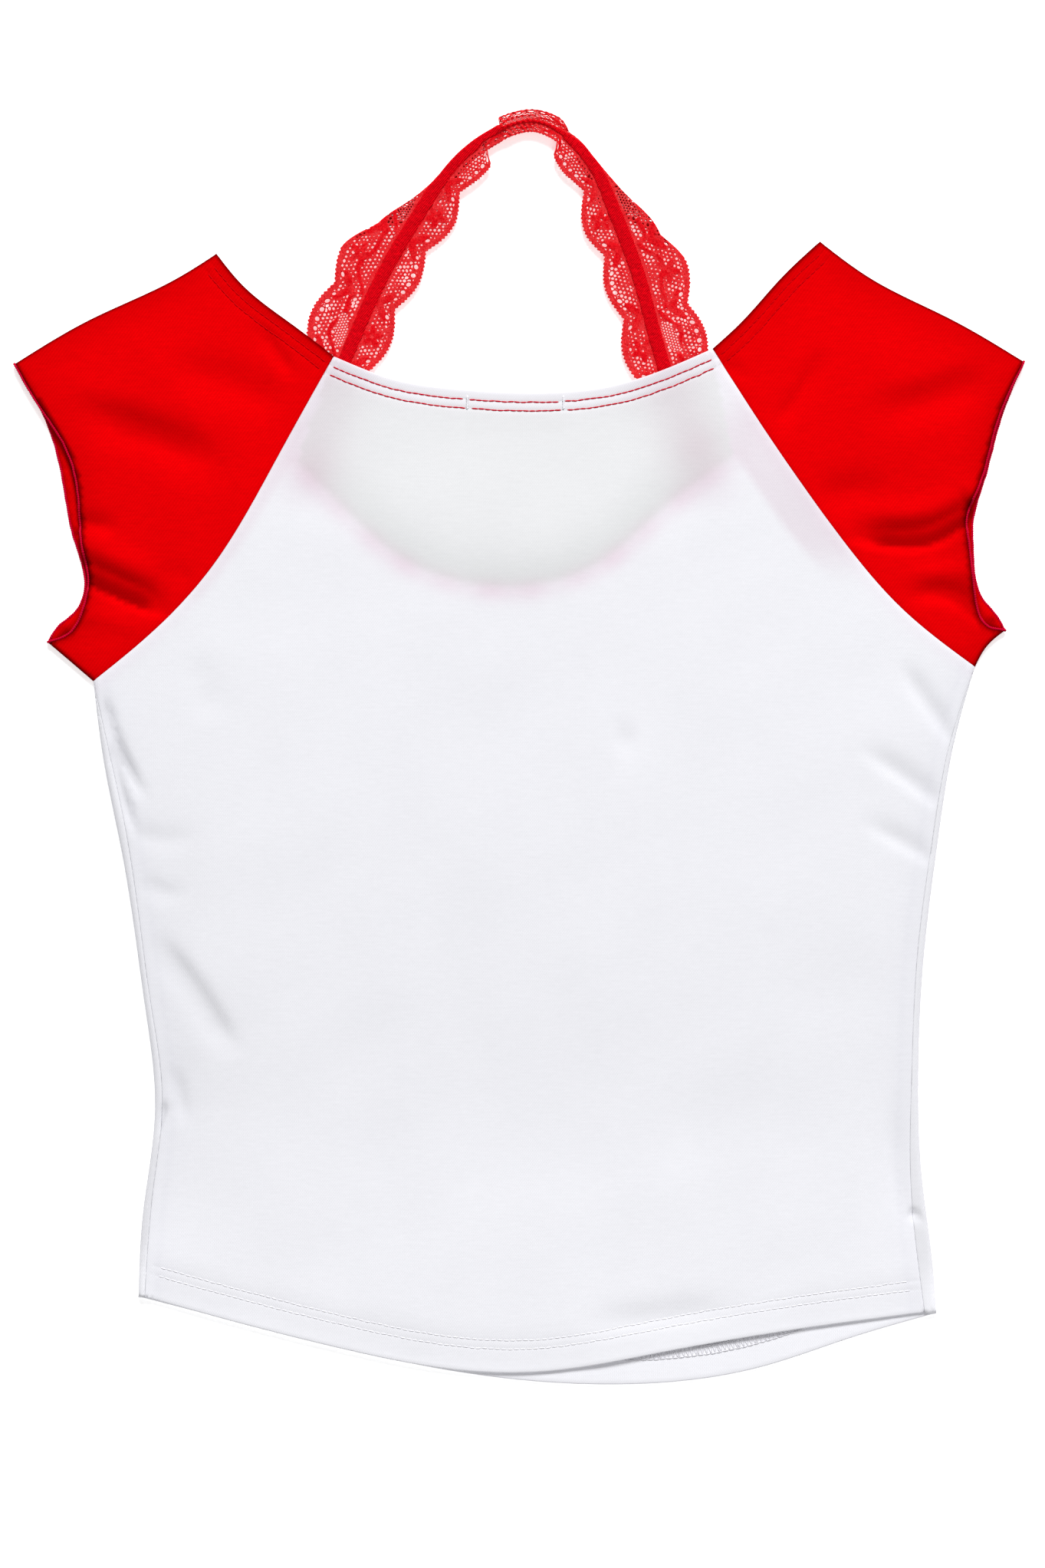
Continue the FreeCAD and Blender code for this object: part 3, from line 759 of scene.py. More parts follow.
# ---- colour factors painted on the cloth: what shows through it, and shading
def soft_inside(xy, low, high, blur):
    """1 inside a box, falling to 0 over a blurred border."""
    share = np.ones(len(xy))
    for axis in (0, 1):
        share *= ramp(xy[:, axis], low[axis] - blur, low[axis] + blur)
        share *= 1 - ramp(xy[:, axis], high[axis] - blur, high[axis] + blur)
    return share


def between(xy, line_a, line_b):
    """1 between two runs, fading out at the second and 0 outside them."""
    loop = np.vstack([line_a, line_b[::-1]])
    return inside(xy, loop) * ramp(nearest(xy, [line_b]), 0, 5)


def show_through_and_painted_shade(xy):
    """Colour factors where lace, allowances, neck stitching and the care label lie under the cloth, and
    painted shade and light: darker over the neck opening, in creases and along the side seams, lighter on the
    lower body.
    """
    factor = np.ones((len(xy), 3))

    def shade(share, colour):
        factor[:] = factor * (1 - share[:, None] * (1 - np.array(colour)))

    away, side, share = to_line(xy, L("FRONT_NECK"))
    middle = ramp(share, 0.0, 0.16) * ramp(1 - share, 0.0, 0.16)
    neck = nearest(xy, [L("BACK_NECK")])
    scoop = between(xy, L("BACK_NECK"), L("FRONT_NECK")) * (0.4 + 0.6 * ramp(neck, 6, 11))
    # painted shade: the single layer of cloth over the neck opening a little darker
    shade(scoop, (0.935, 0.94, 0.915))
    # painted shade: darker still just above the front neck's edge
    above = np.where(side > 0, away, 0)
    shade(scoop * np.exp(-((above - 5) / 14.0) ** 2) * (0.4 + 0.6 * middle), (0.91, 0.915, 0.91))
    below = np.where(side < 0, away, -away)
    patchy = 0.72 + 0.28 * np.sin(share * 23 + 1.0) * np.sin(share * 51)
    shade(np.exp(-((below + 0.5) / 4.8) ** 2) * patchy * (0.5 + 0.5 * middle), (0.95, 0.83, 0.88))
    for x, y in ((-94, 128), (82, 136)):
        shade(np.exp(-((xy[:, 0] - x) ** 2 + (xy[:, 1] - y) ** 2) / 10.0 ** 2), (0.98, 0.94, 0.955))
    shade(np.exp(-(neck / 11.0) ** 2), (0.98, 0.965, 0.98))
    rib = to_line(xy, L("LACE_RIB"))[0]
    shade(np.exp(-(rib / 15.0) ** 2) * ramp(xy[:, 1], 102, 122), (0.915, 0.865, 0.885))
    band = between(xy, L("RIGHT_RAGLAN"), L("RIGHT_FRONT_RAGLAN"))
    shade(band * soft_inside(xy, (92, 84), (156, 156), 13.0), (0.92, 0.85, 0.875))
    band = between(xy, L("LEFT_RAGLAN"), L("LEFT_FRONT_RAGLAN"))
    shade(band * soft_inside(xy, (-150, 64), (-96, 150), 6.0), (0.97, 0.935, 0.945))
    for word in ("LEFT", "RIGHT"):
        seam = to_line(xy, L(word + "_RAGLAN"))[0]
        shade(np.exp(-((seam - 3.2) / 2.6) ** 2), (0.985, 0.962, 0.975))
        # painted shade: the white a little darker along the side seams
        edge = to_line(xy, L(word + "_SEAM"))[0]
        shade(np.exp(-(edge / 12.0) ** 2), (0.965, 0.965, 0.972))
        shade(np.exp(-((edge - 5.5) / 1.2) ** 2), (0.975, 0.975, 0.98))
    label_box = soft_inside(xy, (-163, -164), (-122, -135), 2.0)
    shade(label_box * (1 - 0.6 * ramp(xy[:, 0], -150, -122)), (0.98, 0.98, 0.98))
    shade(soft_inside(xy, (-24, 143), (20, 160), 0.8), (0.99, 0.99, 0.988))
    # shading painted on, not lit: creases darker and the lower body lighter
    factor *= (1 - 0.12 * (1 - np.exp(-(np.maximum(fold_depth(xy), 0) / 1.6) ** 2)))[:, None]
    factor *= (1 + 0.1 * (1 - ramp(xy[:, 1], -250, -140)))[:, None]
    return factor


def paint(obj, factors):
    """Store the colour factors on the piece's points."""
    colours = np.ones((len(obj.data.vertices), 4), np.float32)
    place = np.array([v.co for v in obj.data.vertices])[:, :2] / MM
    colours[:, :3] = factors(place)
    attribute = obj.data.color_attributes.new("tint_and_shade", "FLOAT_COLOR", "POINT")
    attribute.data.foreach_set("color", colours.ravel())


def sleeve_shade(xy):
    """Shading painted on, not lit: darker along the edges, in deep folds and at the two lower tips."""
    away = nearest(xy, FOLDED_EDGES + OPEN_EDGES)
    factor = 1 - 0.68 * np.exp(-(away / 1.3) ** 2) - 0.12 * np.exp(-(away / 9.0) ** 2)
    factor *= 1 - 0.55 * (1 - np.exp(-(np.maximum(fold_depth(xy) - 2.2, 0) / 2.4) ** 2))
    for x, y in ((-207.5, 53.0), (214.5, 57.5)):
        factor *= 1 - 0.5 * np.exp(-((xy[:, 0] - x) ** 2 + (xy[:, 1] - y) ** 2) / 2.6 ** 2)
    return np.repeat(factor[:, None], 3, axis=1)


def side_shade(xy):
    """Shading painted on, not lit: the front panel duller round the sides and lighter beside its hem."""
    dull = 0.95 + 0.15 * (1 - ramp(to_line(xy, L("FRONT_HEM"))[0], 8, 30))
    return np.repeat(dull[:, None], 3, axis=1)


# stored factors: show-through and painted shade on the back panel, only painted shade on the front panel and
# the sleeves
paint(back, show_through_and_painted_shade)
paint(front, side_shade)
paint(left_sleeve, sleeve_shade)
paint(right_sleeve, sleeve_shade)


# ---- threads, edges and seams
def tube(path, radius, sides=6):
    """A closed tube along 3D points. radius is one number or one for each point."""
    path = np.asarray(path, float)
    along = np.gradient(path, axis=0)
    along /= np.linalg.norm(along, axis=1)[:, None]
    across = np.cross(along, [0, 0, 1.0])
    across /= np.maximum(np.linalg.norm(across, axis=1), 1e-6)[:, None]
    up = np.cross(across, along)
    radius = np.broadcast_to(np.asarray(radius, float), len(path))[:, None, None]
    angle = np.arange(sides) * 2 * math.pi / sides
    ring = across[:, None] * np.cos(angle)[None, :, None] + up[:, None] * np.sin(angle)[None, :, None]
    verts = (path[:, None] + radius * ring).reshape(-1, 3)
    k, j = np.meshgrid(np.arange(len(path) - 1) * sides, np.arange(sides), indexing="ij")
    following = (j + 1) % sides
    corners = [k + j, k + sides + j, k + sides + following, k + following]
    faces = np.stack(corners, axis=-1).reshape(-1, 4).tolist()
    last = (len(path) - 1) * sides
    faces.append(list(range(sides)))
    faces.append([last + m for m in range(sides)][::-1])
    return verts, faces


def smooth_noise(at, size, seed):
    """Smooth random values from -1 to 1 along a length, with features of that size."""
    draw = np.random.default_rng(seed).uniform(-1, 1, 4096)
    u = np.asarray(at, float) / size + 1000
    k = np.floor(u).astype(int)
    share = u - k
    share = share * share * (3 - 2 * share)
    return draw[k % 4096] * (1 - share) + draw[(k + 1) % 4096] * share


def stitch_row(line, distance, height, seed, first=0.01, last=0.99, radius=THREAD_R):
    """Single stitches end to end beside an edge; each dips into the cloth at both ends."""
    wander = resample(line + distance * normals(line), STITCH / 8)
    count = len(wander)
    wander = wander[int(first * count):int(last * count)]
    at = np.arange(len(wander)) * STITCH / 8
    sway = 0.16 * smooth_noise(at, 4.0, seed) + 0.08 * smooth_noise(at, 1.5, seed + 1)
    flat = wander + sway[:, None] * normals(wander)
    z = height(flat)
    parts = []
    dip = np.array([-0.16, 0.04, 0.12, 0.15, 0.15, 0.15, 0.12, 0.04, -0.16])
    thick = radius * np.array([0.7, 0.95, 1.05, 1.1, 1.1, 1.1, 1.05, 0.95, 0.7])
    for k in range(0, len(flat) - 9, 8):
        parts.append(tube(np.column_stack([flat[k:k + 9], z[k:k + 9] + dip]), thick, 5))
    return parts


def zigzag(line, near, far, pitch, height, radius=THREAD_R):
    """Thread that runs back and forth between two distances from a line."""
    count = max(4, int(np.linalg.norm(np.diff(line, axis=0), axis=1).sum() / pitch * 2))
    corners = resample(line, 1.0)
    corners = corners[np.linspace(0, len(corners) - 1, count).round().astype(int)]
    side = np.where(np.arange(count) % 2, near, far)[:, None]
    flat = resample(corners + side * normals(corners), 0.6)
    return [tube(np.column_stack([flat, height(flat)]), radius, 5)]


def thread_piece(name, parts, material, node):
    return stands_for(new_object(name, *join(parts), material), node)


def in_dent(xy):
    return upper(xy) - 0.2


def neck_threads():
    rows = []
    for seed, distance in enumerate(NECK_ROWS):
        rows += stitch_row(L("BACK_NECK"), -distance, in_dent, 40 + seed, radius=0.3)
    rows = [(v, f) for v, f in rows if np.abs(v[:, 0].mean() - np.array(TACKS)).min() > 1.3]
    thread_piece("back_neck_threads", rows, RED_THREAD, "back_neck_stitching")
    for side, sign in (("LEFT", 1), ("RIGHT", -1)):
        rows = []
        for seed, distance in enumerate(NECK_ROWS):
            rows += stitch_row(L(side + "_NECK_SIDE"), sign * distance, in_dent, 50 + seed, 0.02, 0.95)
        word = side.lower() + "_sleeve_neck_"
        thread_piece(word + "threads", rows, SLEEVE_THREAD, word + "stitching")


def hem_threads():
    rows = []
    for seed, distance in enumerate(HEM_ROWS):
        rows += stitch_row(L("BACK_HEM"), distance, in_dent, 60 + seed)
    thread_piece("back_hem_threads", rows, WHITE_THREAD, "back_hem_stitching")


def inner_face(xy):
    return lower(xy) + 2 * TURN_R + 0.15


def inner_threads():
    """Covering threads on the inner side of the front panel's turned edges."""
    for name, material, slot, sign, rows in (("neck", RED_THREAD, "red_thread", -1, NECK_ROWS),
                                             ("hem", WHITE_THREAD, "white_thread", 1, HEM_ROWS)):
        line = L("FRONT_" + name.upper())
        line = line[int(0.05 * len(line)):int(0.95 * len(line))]
        parts = zigzag(line, sign * rows[0], sign * rows[1], 1.8, inner_face)
        for row in rows:
            parts += stitch_row(line, sign * row, inner_face, 70, radius=0.2)
        thread_piece("front_" + name + "_threads", parts, material, "front_" + name + "_stitching")


def rolled_edges():
    """Thread wrapped round the raw edge of each sleeve opening, right round both layers."""
    for side, sign in (("LEFT", -1), ("RIGHT", 1)):
        parts = []
        for line, height in ((L(side + "_CUFF"), upper), (L(side + "_FRONT_CUFF"), lower)):
            run = resample(line, 0.26)
            at = np.arange(len(run)) * 0.26
            place = run + (0.35 * sign + 0.12 * smooth_noise(at, 3.0, 80))[:, None] * normals(run)
            inner = 0.33 if height is lower else -0.33
            z = height(run) + inner * ramp(nearest(run, FOLDED_EDGES), 0, 3)
            radius = 0.52 + 0.11 * np.cos(at * 2 * math.pi / 1.05) + 0.05 * smooth_noise(at, 1.2, 81)
            parts.append(tube(np.column_stack([place, z]), radius, 8))
        word = side.lower() + "_sleeve_rolled_edge"
        thread_piece(word + "_thread", parts, EDGE_THREAD, word)


def ribbon(line, near, far, height, thickness=0.5):
    """A narrow band of cloth beside a line."""
    steps = np.linspace(near, far, 6)
    rows = [line + distance * normals(line) for distance in steps]
    flat = np.stack(rows, axis=1)
    shape = flat.shape[:2]
    z = height(flat.reshape(-1, 2)).reshape(shape)
    top = np.concatenate([flat, z[..., None]], axis=2).reshape(-1, 3)
    below = top - [0, 0, thickness]
    wide = shape[1]
    faces = quads(shape[0], wide)
    faces += [[len(top) + m for m in face[::-1]] for face in faces]
    rim = list(range(wide)) + [k * wide + wide - 1 for k in range(1, shape[0])]
    rim += list(range(len(top) - 2, len(top) - wide - 1, -1))
    rim += [k * wide for k in range(shape[0] - 2, 0, -1)]
    for a, b in zip(rim, rim[1:] + rim[:1]):
        faces.append([b, a, a + len(top), b + len(top)])
    verts = np.vstack([top, below])
    if far < near:
        return verts, faces
    return verts, [face[::-1] for face in faces]


def under_back(xy):
    return upper(xy, groove=False) - CLOTH - 0.35


def over_front(xy):
    return lower(xy) + CLOTH + 0.65


def allowance(name, line, sign, height, node, cut=(0.02, 0.98)):
    """An overlocked seam allowance: a strip of both cloths with thread looped over its raw edge."""
    line = line[int(cut[0] * len(line)):int(cut[1] * len(line))]
    parts = [ribbon(line, sign * 0.4, sign * 5.2, height)]
    parts += zigzag(line, sign * 3.0, sign * 5.6, 2.0, lambda xy: height(xy) + 0.12, 0.18)
    parts += zigzag(line, sign * 3.0, sign * 5.6, 2.0, lambda xy: height(xy) - 0.6, 0.18)
    if "raglan" in node:
        thread_piece(name, parts, RED_THREAD, node)
    else:
        thread_piece(name, parts, WHITE_THREAD, node)


def seams():
    for side, sign in (("LEFT", 1), ("RIGHT", -1)):
        word = side.lower()
        allowance(word + "_back_raglan_allowance", L(side + "_RAGLAN"), sign, under_back,
                  word + "_back_raglan_seam", (0.07, 0.97))
        allowance(word + "_front_raglan_allowance", L(side + "_FRONT_RAGLAN"), sign, over_front,
                  word + "_front_raglan_seam", (0.12, 0.94))
        line = np.vstack([L(side + "_UNDERARM")[:-1], L(side + "_SEAM")])
        allowance(word + "_side_allowance", resample(line, STEP), sign, under_back,
                  word + "_side_seam", (0.03, 0.94))


def label(name, place, height, node, fold=0.0):
    """A woven label with heat-cut ends, lying slightly wavy."""
    low, size = place
    count = (int(size[0] / 1.5), int(size[1] / 1.5))
    u, v = np.meshgrid(np.linspace(0, 1, count[0]), np.linspace(0, 1, count[1]), indexing="ij")
    flat = np.stack([low[0] + u * size[0], low[1] + v * size[1]], axis=-1).reshape(-1, 2)
    u, v = u.ravel(), v.ravel()
    z = height(flat) + 0.12 * np.sin(u * 9 + v * 4) + fold * np.exp(-((v - 0.97) / 0.03) ** 2)
    obj = new_object(name, np.column_stack([flat, z]), quads(*count, flip=True), LABEL)
    stands_for(thicken(obj, LABEL_THICK), node)


def labels():
    def under_turned_edge(xy):
        return upper(xy) - 2 * TURN_R - CLOTH - 0.2

    def under_panel(xy):
        return upper(xy) - CLOTH - 0.9

    label("size_label_tape", SIZE_LABEL, under_turned_edge, "size_label", 0.2)
    label("care_label_tape", CARE_LABEL, under_panel, "care_label")


def tacks():
    """The two bars that hold the size label: threads along each bar and threads across it."""
    parts = []
    for x in TACKS:
        for k in range(6):
            start = [x + 0.17 * (k % 3) - 0.2, TACK_LOW]
            path = np.linspace(start, [x + 0.17 * ((k + 1) % 3) - 0.2, TACK_HIGH], 9)
            arch = 0.08 + 0.08 * np.sin(np.linspace(0, math.pi, 9)) + 0.05 * (k % 2)
            parts.append(tube(np.column_stack([path, upper(path) + arch - 0.12]), 0.16, 5))
        for k in range(8):
            y = TACK_LOW + 0.2 + 0.72 * k
            path = np.array([[x - 0.55, y], [x - 0.2, y + 0.2], [x + 0.2, y + 0.4], [x + 0.55, y + 0.6]])
            parts.append(tube(np.column_stack([path, upper(path) + [-0.05, 0.12, 0.12, -0.05]]), 0.17, 5))
    thread_piece("size_label_tack_threads", parts, WHITE_THREAD, "size_label_tacks")


# ---- lace
RIB_LINE = dense(RUNS["LACE_RIB"], 0.4)
RIB_AT = np.r_[0, np.cumsum(np.linalg.norm(np.diff(RIB_LINE, axis=0), axis=1))]
RIB_AT -= RIB_AT[np.hypot(*(RIB_LINE - RUNS["LACE_RIB"][APEX]).T).argmin()]
RIB_SIDE = normals(RIB_LINE)


def nape(s):
    """1 where the lace is gathered at the apex: it starts abruptly on the left and fades out on the right."""
    return ramp(s, -17.5, -14) * (1 - ramp(s, 9, 32))


def half_widths(s):
    """Outer and inner half widths as they lie, and the outer half width of the flat lace."""
    away = np.abs(s)
    scallop = (np.abs(np.sin(math.pi * (s + VALLEY) / SCALLOP)) - 0.5) * SCALLOP_HIGH
    low = np.where(s < 0, FOLD_LEFT[0], FOLD_RIGHT[0])
    high = np.where(s < 0, FOLD_LEFT[1], FOLD_RIGHT[1])
    outer = FOLDED_HALF + (LACE_OUTER - FOLDED_HALF) * ramp(away, low, high)
    outer += (NAPE_HALF - FOLDED_HALF) * nape(s) + scallop * ramp(away, low + 17, high)
    start = np.where(s < 0, *INNER_START)
    inner = NAPE_HALF - 0.5 + (11.5 - NAPE_HALF) * ramp(away, start, start + 4)
    inner += (LACE_INNER + 0.5 - 11.5) * ramp(away, 34, 66) + scallop * ramp(away, start, start + 5)
    return outer, inner, LACE_OUTER + scallop, LACE_INNER + scallop


def lace_place(s, t, raised=0.0):
    """Where a point of the flat lace lies: s along the rib from the apex, t outwards from the rib."""
    outer, inner, full_outer, full_inner = half_widths(s)
    gather = nape(s)
    p = np.where(t < 0, t * inner / full_inner, t)
    over = np.maximum(t - outer, 0)
    turn = np.minimum(over / FLAP_R, math.pi)
    rest = np.maximum(over - math.pi * FLAP_R, 0)
    room = np.maximum(full_outer - outer - math.pi * FLAP_R, 0.1)
    squeeze = np.minimum(1.0, (outer + 5.0) / room)
    folded = outer + FLAP_R * np.sin(turn) - rest * squeeze
    drop = np.where(over > 0, FLAP_R * (1 - np.cos(turn)), 0)
    p = np.where((t > 0) & (over > 0), folded, p)
    p = np.where(t > 0, p * (1 - gather) + t * outer / full_outer * gather, p)
    drop *= 1 - gather
    x = np.interp(s, RIB_AT, RIB_LINE[:, 0]) + p * np.interp(s, RIB_AT, RIB_SIDE[:, 0])
    y = np.interp(s, RIB_AT, RIB_LINE[:, 1]) + p * np.interp(s, RIB_AT, RIB_SIDE[:, 1])
    z = RIB_Z + 1.2 * (1 - ramp(np.abs(s), 20, 85)) + raised * (1 - 2 * (drop > FLAP_R) * (over > 0))
    z += 0.9 * np.exp(-((s + 13) / 4.0) ** 2) + 0.45 * gather * np.sin(s * 2.6 + 0.4 * t)
    z += 0.3 * np.sin(s / 9.0) * ramp(np.abs(t), 4, 14)
    return np.stack([x, y, z - drop * 1.9], axis=-1)


def mottle(s, t, size, seed):
    """Smooth random values from 0 to 1 over the lace."""
    lattice = np.random.default_rng(seed).uniform(0, 1, (64, 64))
    u, v = s / size + 200, t / size + 200
    i, j = np.floor(u).astype(int), np.floor(v).astype(int)
    a, b = u - i, v - j
    a, b = a * a * (3 - 2 * a), b * b * (3 - 2 * b)
    near = lattice[i % 64, j % 64] * (1 - a) + lattice[(i + 1) % 64, j % 64] * a
    far = lattice[i % 64, (j + 1) % 64] * (1 - a) + lattice[(i + 1) % 64, (j + 1) % 64] * a
    return near * (1 - b) + far * b


def hex_holes(s, t, pitch, radius):
    """Distance outside the holes of a hexagonal net."""
    best = np.full(s.shape, 9.0)
    for shift in (0.0, 0.5):
        u = s / pitch - shift
        v = t / (pitch * math.sqrt(3)) - shift
        best = np.minimum(best, np.hypot((u - np.round(u)) * pitch, (v - np.round(v)) * pitch * math.sqrt(3)))
    return best - radius


def oval(s, t, at, across, half_length, half_width, slant=0.0):
    """1 inside an oval, 0 outside, with a short ramp."""
    du = (s - at) / half_length
    dv = (t - across - slant * (s - at)) / half_width
    return 1 - ramp(np.hypot(du, dv), 0.88, 1.06)


# place along a scallop, radius, and its share of that radius beside the filled lobes
EYELETS = ((-11.2, 0.7, 1.2), (-6.6, 0.95, 0.0), (-2.0, 1.0, 0.6), (2.6, 1.05, 0.0), (7.0, 0.95, 0.6),
           (11.2, 0.75, 1.2))
EYELET_RIM = 0.55


def lace_field(s, t):
    """Positive where the lace has thread, and how densely it is filled there."""
    _, _, full_outer, full_inner = half_widths(s)
    warp = 0.9 * (mottle(s, t, 3.2, 5) - 0.5)
    warp_t = 0.9 * (mottle(s, t, 3.2, 6) - 0.5)
    out = t > 0
    edge = np.where(out, full_outer - t, full_inner + t)
    depth = edge
    edge = edge - 0.75 * (0.5 + 0.5 * np.cos(s * 2 * math.pi / 1.8)) - 0.3 * mottle(s, t, 1.1, 7)
    number = np.floor((s + VALLEY) / SCALLOP)
    phase = (s + VALLEY) / SCALLOP - number
    along = (phase - 0.5) * SCALLOP
    open_lobe = np.where(out, number % 2 == 1, number % 2 == 0)
    # solid motifs: a flower in each filled lobe and a leaf at each valley
    reach = np.hypot(along, depth - 9.6)
    turn = np.arctan2(depth - 9.6, along)
    flower = (reach < 5.4 * (0.70 + 0.30 * np.cos(5 * turn + number))) & (reach > 0.8) & ~open_lobe
    valley = np.abs(along) - SCALLOP / 2
    leaf = oval(valley, depth, -2.2, 7.4, 4.6, 2.1, 0.35) > 0.5
    stem = (np.abs(depth - 12.5 - 1.6 * np.sin(along / 3.0)) < 0.9) & out
    solid = flower | leaf | stem | (np.abs(t) < RIB_WIDE / 2 + 1.4) | (depth < 2.9)
    # round holes of uneven size between the motifs
    size = 0.62 * (0.42 + 0.95 * mottle(s, t, 2.4, 9)) * np.where(open_lobe, 1.0, 0.86)
    holes = hex_holes(s + warp, t + warp_t, 1.95, 0.0) - size
    field = np.where(solid, edge, np.minimum(edge, holes))
    # a leaf shaped window of fine net beside the rib
    window = oval(along, np.abs(t), -2.5, 6.9, 8.2, 3.2, 0.22) * (open_lobe & out) > 0.5
    field = np.where(window, np.minimum(edge, hex_holes(s, t, 1.35, 0.44)), field)
    # eyelets along each scallop, fewer and larger beside the filled lobes
    for at, radius, filled_share in EYELETS:
        wide = radius * np.where(open_lobe, 1.0, filled_share)
        hole = np.hypot((along - at + 0.6 * warp) * 0.95, depth - 4.3 - 0.6 * warp_t) - wide
        field = np.where((hole < EYELET_RIM) & (wide > 0), np.minimum(edge, hole), field)
    keep = np.minimum(edge, RIB_WIDE / 2 + 0.4 - np.abs(t))
    filled = np.where(window, 0.0, np.where(flower | leaf | stem, 1.0, 0.55))
    return np.maximum(field, keep), np.clip(filled * (0.6 + 0.7 * mottle(s, t, 2.4, 15)), 0, 1)


def thread_outline(field, rows, columns):
    """Polygons over the positive cells of a grid, with points moved to where the field is zero."""
    points, names, polygons, walls = [], {}, [], []
    good = field > 0
    busy = np.argwhere(good[:-1, :-1] | good[1:, :-1] | good[:-1, 1:] | good[1:, 1:]).tolist()
    values = field.tolist()
    rows, columns = rows.tolist(), columns.tolist()

    def corner(i, j):
        key = (i, j, i, j)
        if key not in names:
            names[key] = len(points)
            points.append((rows[i], columns[j]))
        return names[key]

    def crossing(a, b):
        key = (*min(a, b), *max(a, b))
        if key not in names:
            low, high = values[a[0]][a[1]], values[b[0]][b[1]]
            share = min(max(low / (low - high), 0.06), 0.94)
            names[key] = len(points)
            points.append((rows[a[0]] + share * (rows[b[0]] - rows[a[0]]),
                           columns[a[1]] + share * (columns[b[1]] - columns[a[1]])))
        return names[key]

    for i, j in busy:
        ring = ((i, j), (i + 1, j), (i + 1, j + 1), (i, j + 1))
        shape, crossings = [], []
        for k in range(4):
            a, b = ring[k], ring[(k + 1) % 4]
            a_in, b_in = values[a[0]][a[1]] > 0, values[b[0]][b[1]] > 0
            if a_in:
                shape.append(corner(*a))
            if a_in != b_in:
                mark = crossing(a, b)
                shape.append(mark)
                crossings.append((mark, a_in))
        polygons.append(shape)
        for k, (mark, leaving) in enumerate(crossings):
            if leaving:
                walls.append((mark, crossings[(k + 1) % len(crossings)][0]))
    return np.array(points), polygons, walls


def lace_piece(name, first, last, cell, body, node):
    """A length of the lace as a thin relief, open wherever the pattern is open."""
    wide = LACE_OUTER + SCALLOP_HIGH
    s = np.arange(first, last + cell, cell * 1.1)
    t = np.arange(-(LACE_INNER + SCALLOP_HIGH), wide, cell)
    grid_s, grid_t = np.meshgrid(s, t, indexing="ij")
    field, _ = lace_field(grid_s, grid_t)
    field[0], field[-1] = -0.2, -0.2
    flat, polygons, walls = thread_outline(field, s, t)
    _, filled = lace_field(flat[:, 0], flat[:, 1])
    bead = 0.16 * mottle(flat[:, 0], flat[:, 1], 0.7, 21) + 0.18 * filled
    half = LACE_THICK / 2
    top = lace_place(flat[:, 0], flat[:, 1], half + bead)
    below = lace_place(flat[:, 0], flat[:, 1], -half)
    count = len(flat)
    faces = polygons + [[count + k for k in reversed(face)] for face in polygons]
    faces += [[b, a, a + count, b + count] for a, b in walls]
    obj = new_object(name, np.vstack([top, below]), faces, LACE)
    attribute = obj.data.attributes.new("filled", "FLOAT", "POINT")
    attribute.data.foreach_set("value", np.r_[filled, filled].astype(np.float32))
    stands_for(obj, node, body)


def rib_piece(name, first, last, body, node):
    """The padded elastic rib: a low rounded band with a looped pile surface."""
    s = np.arange(first, last, 0.48)
    angle = np.linspace(0, math.pi, 13)
    grid_s, grid_a = np.meshgrid(s, angle, indexing="ij")
    narrow = 1 - 0.25 * (1 - ramp(np.abs(grid_s), 6, 24))
    pile = mottle(grid_s, grid_a * 3.0, 0.95, 31) - 0.5
    across = 0.64 * RIB_WIDE * np.cos(grid_a) * narrow * (1 + 0.10 * pile)
    gathered = 1 + 0.9 * np.exp(-((grid_s + 14.5) / 2.4) ** 2)
    high = 0.2 + 0.95 * np.sin(grid_a) ** 0.55 * (1 + 0.55 * pile) * gathered
    top = lace_place(grid_s, across, high).reshape(-1, 3)
    wide = len(angle)
    faces = quads(len(s), wide)
    faces += [[a + wide - 1, a, a + wide, a + 2 * wide - 1] for a in range(0, (len(s) - 1) * wide, wide)]
    faces.append(list(range(wide))[::-1])
    faces.append([(len(s) - 1) * wide + j for j in range(wide)])
    obj = new_object(name, top, [face[::-1] for face in faces], ELASTIC)
    stands_for(obj, node, body)


def station(y, leg):
    """Distance from the apex where that leg of the rib crosses a height on the page."""
    part = RIB_AT < 0 if leg == "left" else RIB_AT > 0
    return RIB_AT[part][np.abs(RIB_LINE[part, 1] - y).argmin()]


def lace():
    left, right = station(LACE_SPLIT_Y, "left"), station(LACE_SPLIT_Y, "right")
    cell = 0.4
    lace_piece("halter_loop_lace", left, right, cell, "bends", "halter_loop_strap")
    rib_piece("halter_loop_rib", left, right, "bends", "halter_loop_elastic")
    for leg, first, last in (("left", RIB_AT[0], left - 0.2), ("right", right + 0.2, RIB_AT[-1])):
        lace_piece(leg + "_lace_base", first, last, 0.75, "garment", leg + "_strap_base")
        rib_piece(leg + "_rib_base", first, last, "garment", leg + "_elastic_base")


def anchor_threads():
    """Two short zigzag rows that hold each lace end to the front neck."""
    for leg, end in (("left", RIB_AT[0]), ("right", RIB_AT[-1])):
        parts = []
        inward = 1 if leg == "left" else -1
        for low, high in ((RIB_WIDE / 2 + 0.6, LACE_OUTER - 3), (-LACE_INNER + 3, -RIB_WIDE / 2 - 0.6)):
            across = np.arange(low, high, 0.9)
            for row in (2.0, 4.4):
                along = end + inward * (row + 0.5 * (np.arange(len(across)) % 2))
                parts.append(tube(lace_place(along, across, 0.62), 0.22, 5))
        node = leg + "_strap_anchor_stitching"
        thread_piece(leg + "_anchor_threads", parts, RED_THREAD, node)


neck_threads()
hem_threads()
inner_threads()
rolled_edges()
seams()
labels()
tacks()
lace()
anchor_threads()

# ---- studio
VIEW_CENTRE = (1.2, -16.7)
VIEW_TALL = 711.7        # what the picture takes in from top to bottom
FOCUS_Z = 6.0            # height that this holds at
LENS = 85.0
SENSOR = 36.0
WORLD = 0.27
FLOOR_GLOW = 0.5
FLOOR_HALF = 14.0        # metres
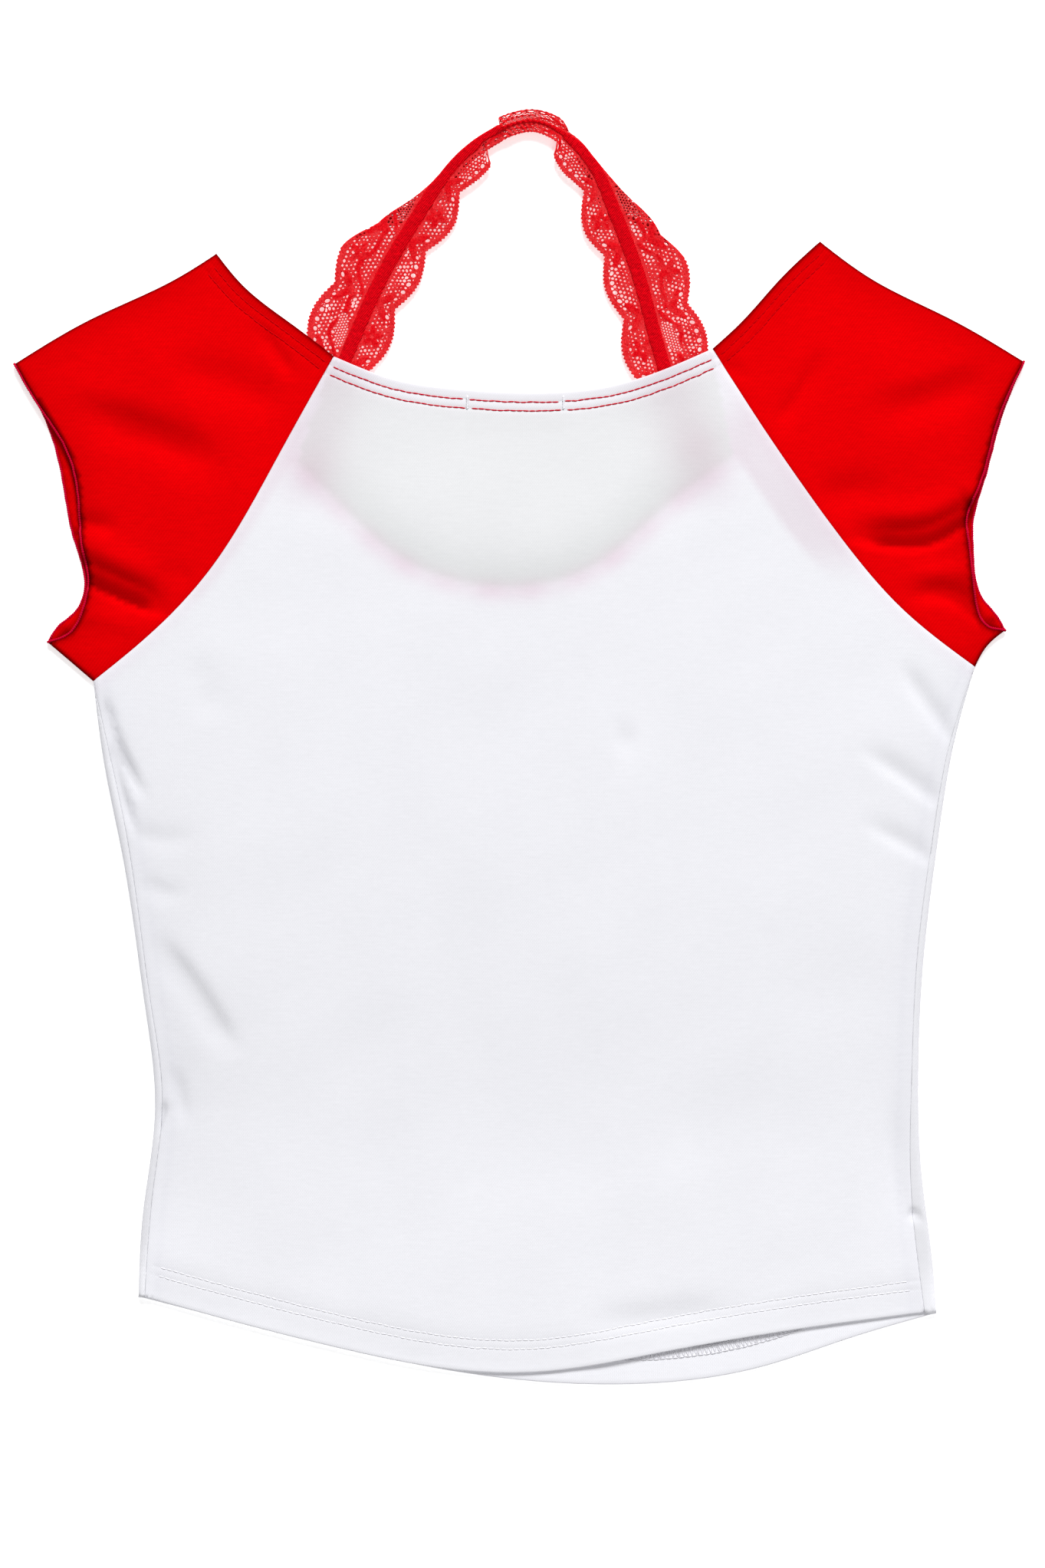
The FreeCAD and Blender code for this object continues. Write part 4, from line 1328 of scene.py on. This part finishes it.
# name, place in metres, size in metres and power
LIGHTS = [("key", (0.4, 3.9, 3.5), 1.6, 285.0), ("fill", (1.2, -1.6, 3.4), 1.6, 26.0)]


def place_camera(scene):
    """Straight above the garment, as it was photographed."""
    data = bpy.data.cameras.new("camera")
    data.lens = LENS
    data.sensor_width = SENSOR
    data.clip_end = 20.0
    camera = bpy.data.objects.new("camera", data)
    scene.collection.objects.link(camera)
    away = VIEW_TALL * MM * LENS / SENSOR
    camera.location = (VIEW_CENTRE[0] * MM, VIEW_CENTRE[1] * MM, away + FOCUS_Z * MM)
    scene.camera = camera


def light(scene):
    """An even white world, a large key light beyond the neck and a weak fill."""
    world = bpy.data.worlds.new("studio")
    scene.world = world
    world.use_nodes = True
    background = world.node_tree.nodes["Background"]
    background.inputs["Color"].default_value = (1, 1, 1, 1)
    background.inputs["Strength"].default_value = WORLD
    for name, place, size, power in LIGHTS:
        lamp = bpy.data.lights.new(name, "AREA")
        lamp.size = size
        lamp.energy = power
        obj = bpy.data.objects.new(name, lamp)
        scene.collection.objects.link(obj)
        obj.location = place
        obj.rotation_euler = (-Vector(place)).to_track_quat("-Z", "Y").to_euler()


def lay_floor(scene):
    """A plain pale floor that stays near white under the garment's shadow."""
    mesh = bpy.data.meshes.new("floor")
    corners = [(x * FLOOR_HALF, y * FLOOR_HALF, 0) for x, y in ((-1, -1), (1, -1), (1, 1), (-1, 1))]
    mesh.from_pydata(corners, [], [(0, 1, 2, 3)])
    floor = bpy.data.objects.new("floor", mesh)
    scene.collection.objects.link(floor)
    pale = Shader("pale floor", 0.9)
    grain = pale.noise(60.0, 2.0)
    pale.colour(pale.tinted(srgb(248, 248, 248), pale.spread(grain, 0.995, 1.0)))
    pale.surface.inputs["Emission Color"].default_value = (1, 1, 1, 1)
    pale.surface.inputs["Emission Strength"].default_value = FLOOR_GLOW
    mesh.materials.append(pale.material)


stage = bpy.context.scene
stage.view_settings.view_transform = "Standard"
place_camera(stage)
light(stage)
lay_floor(stage)
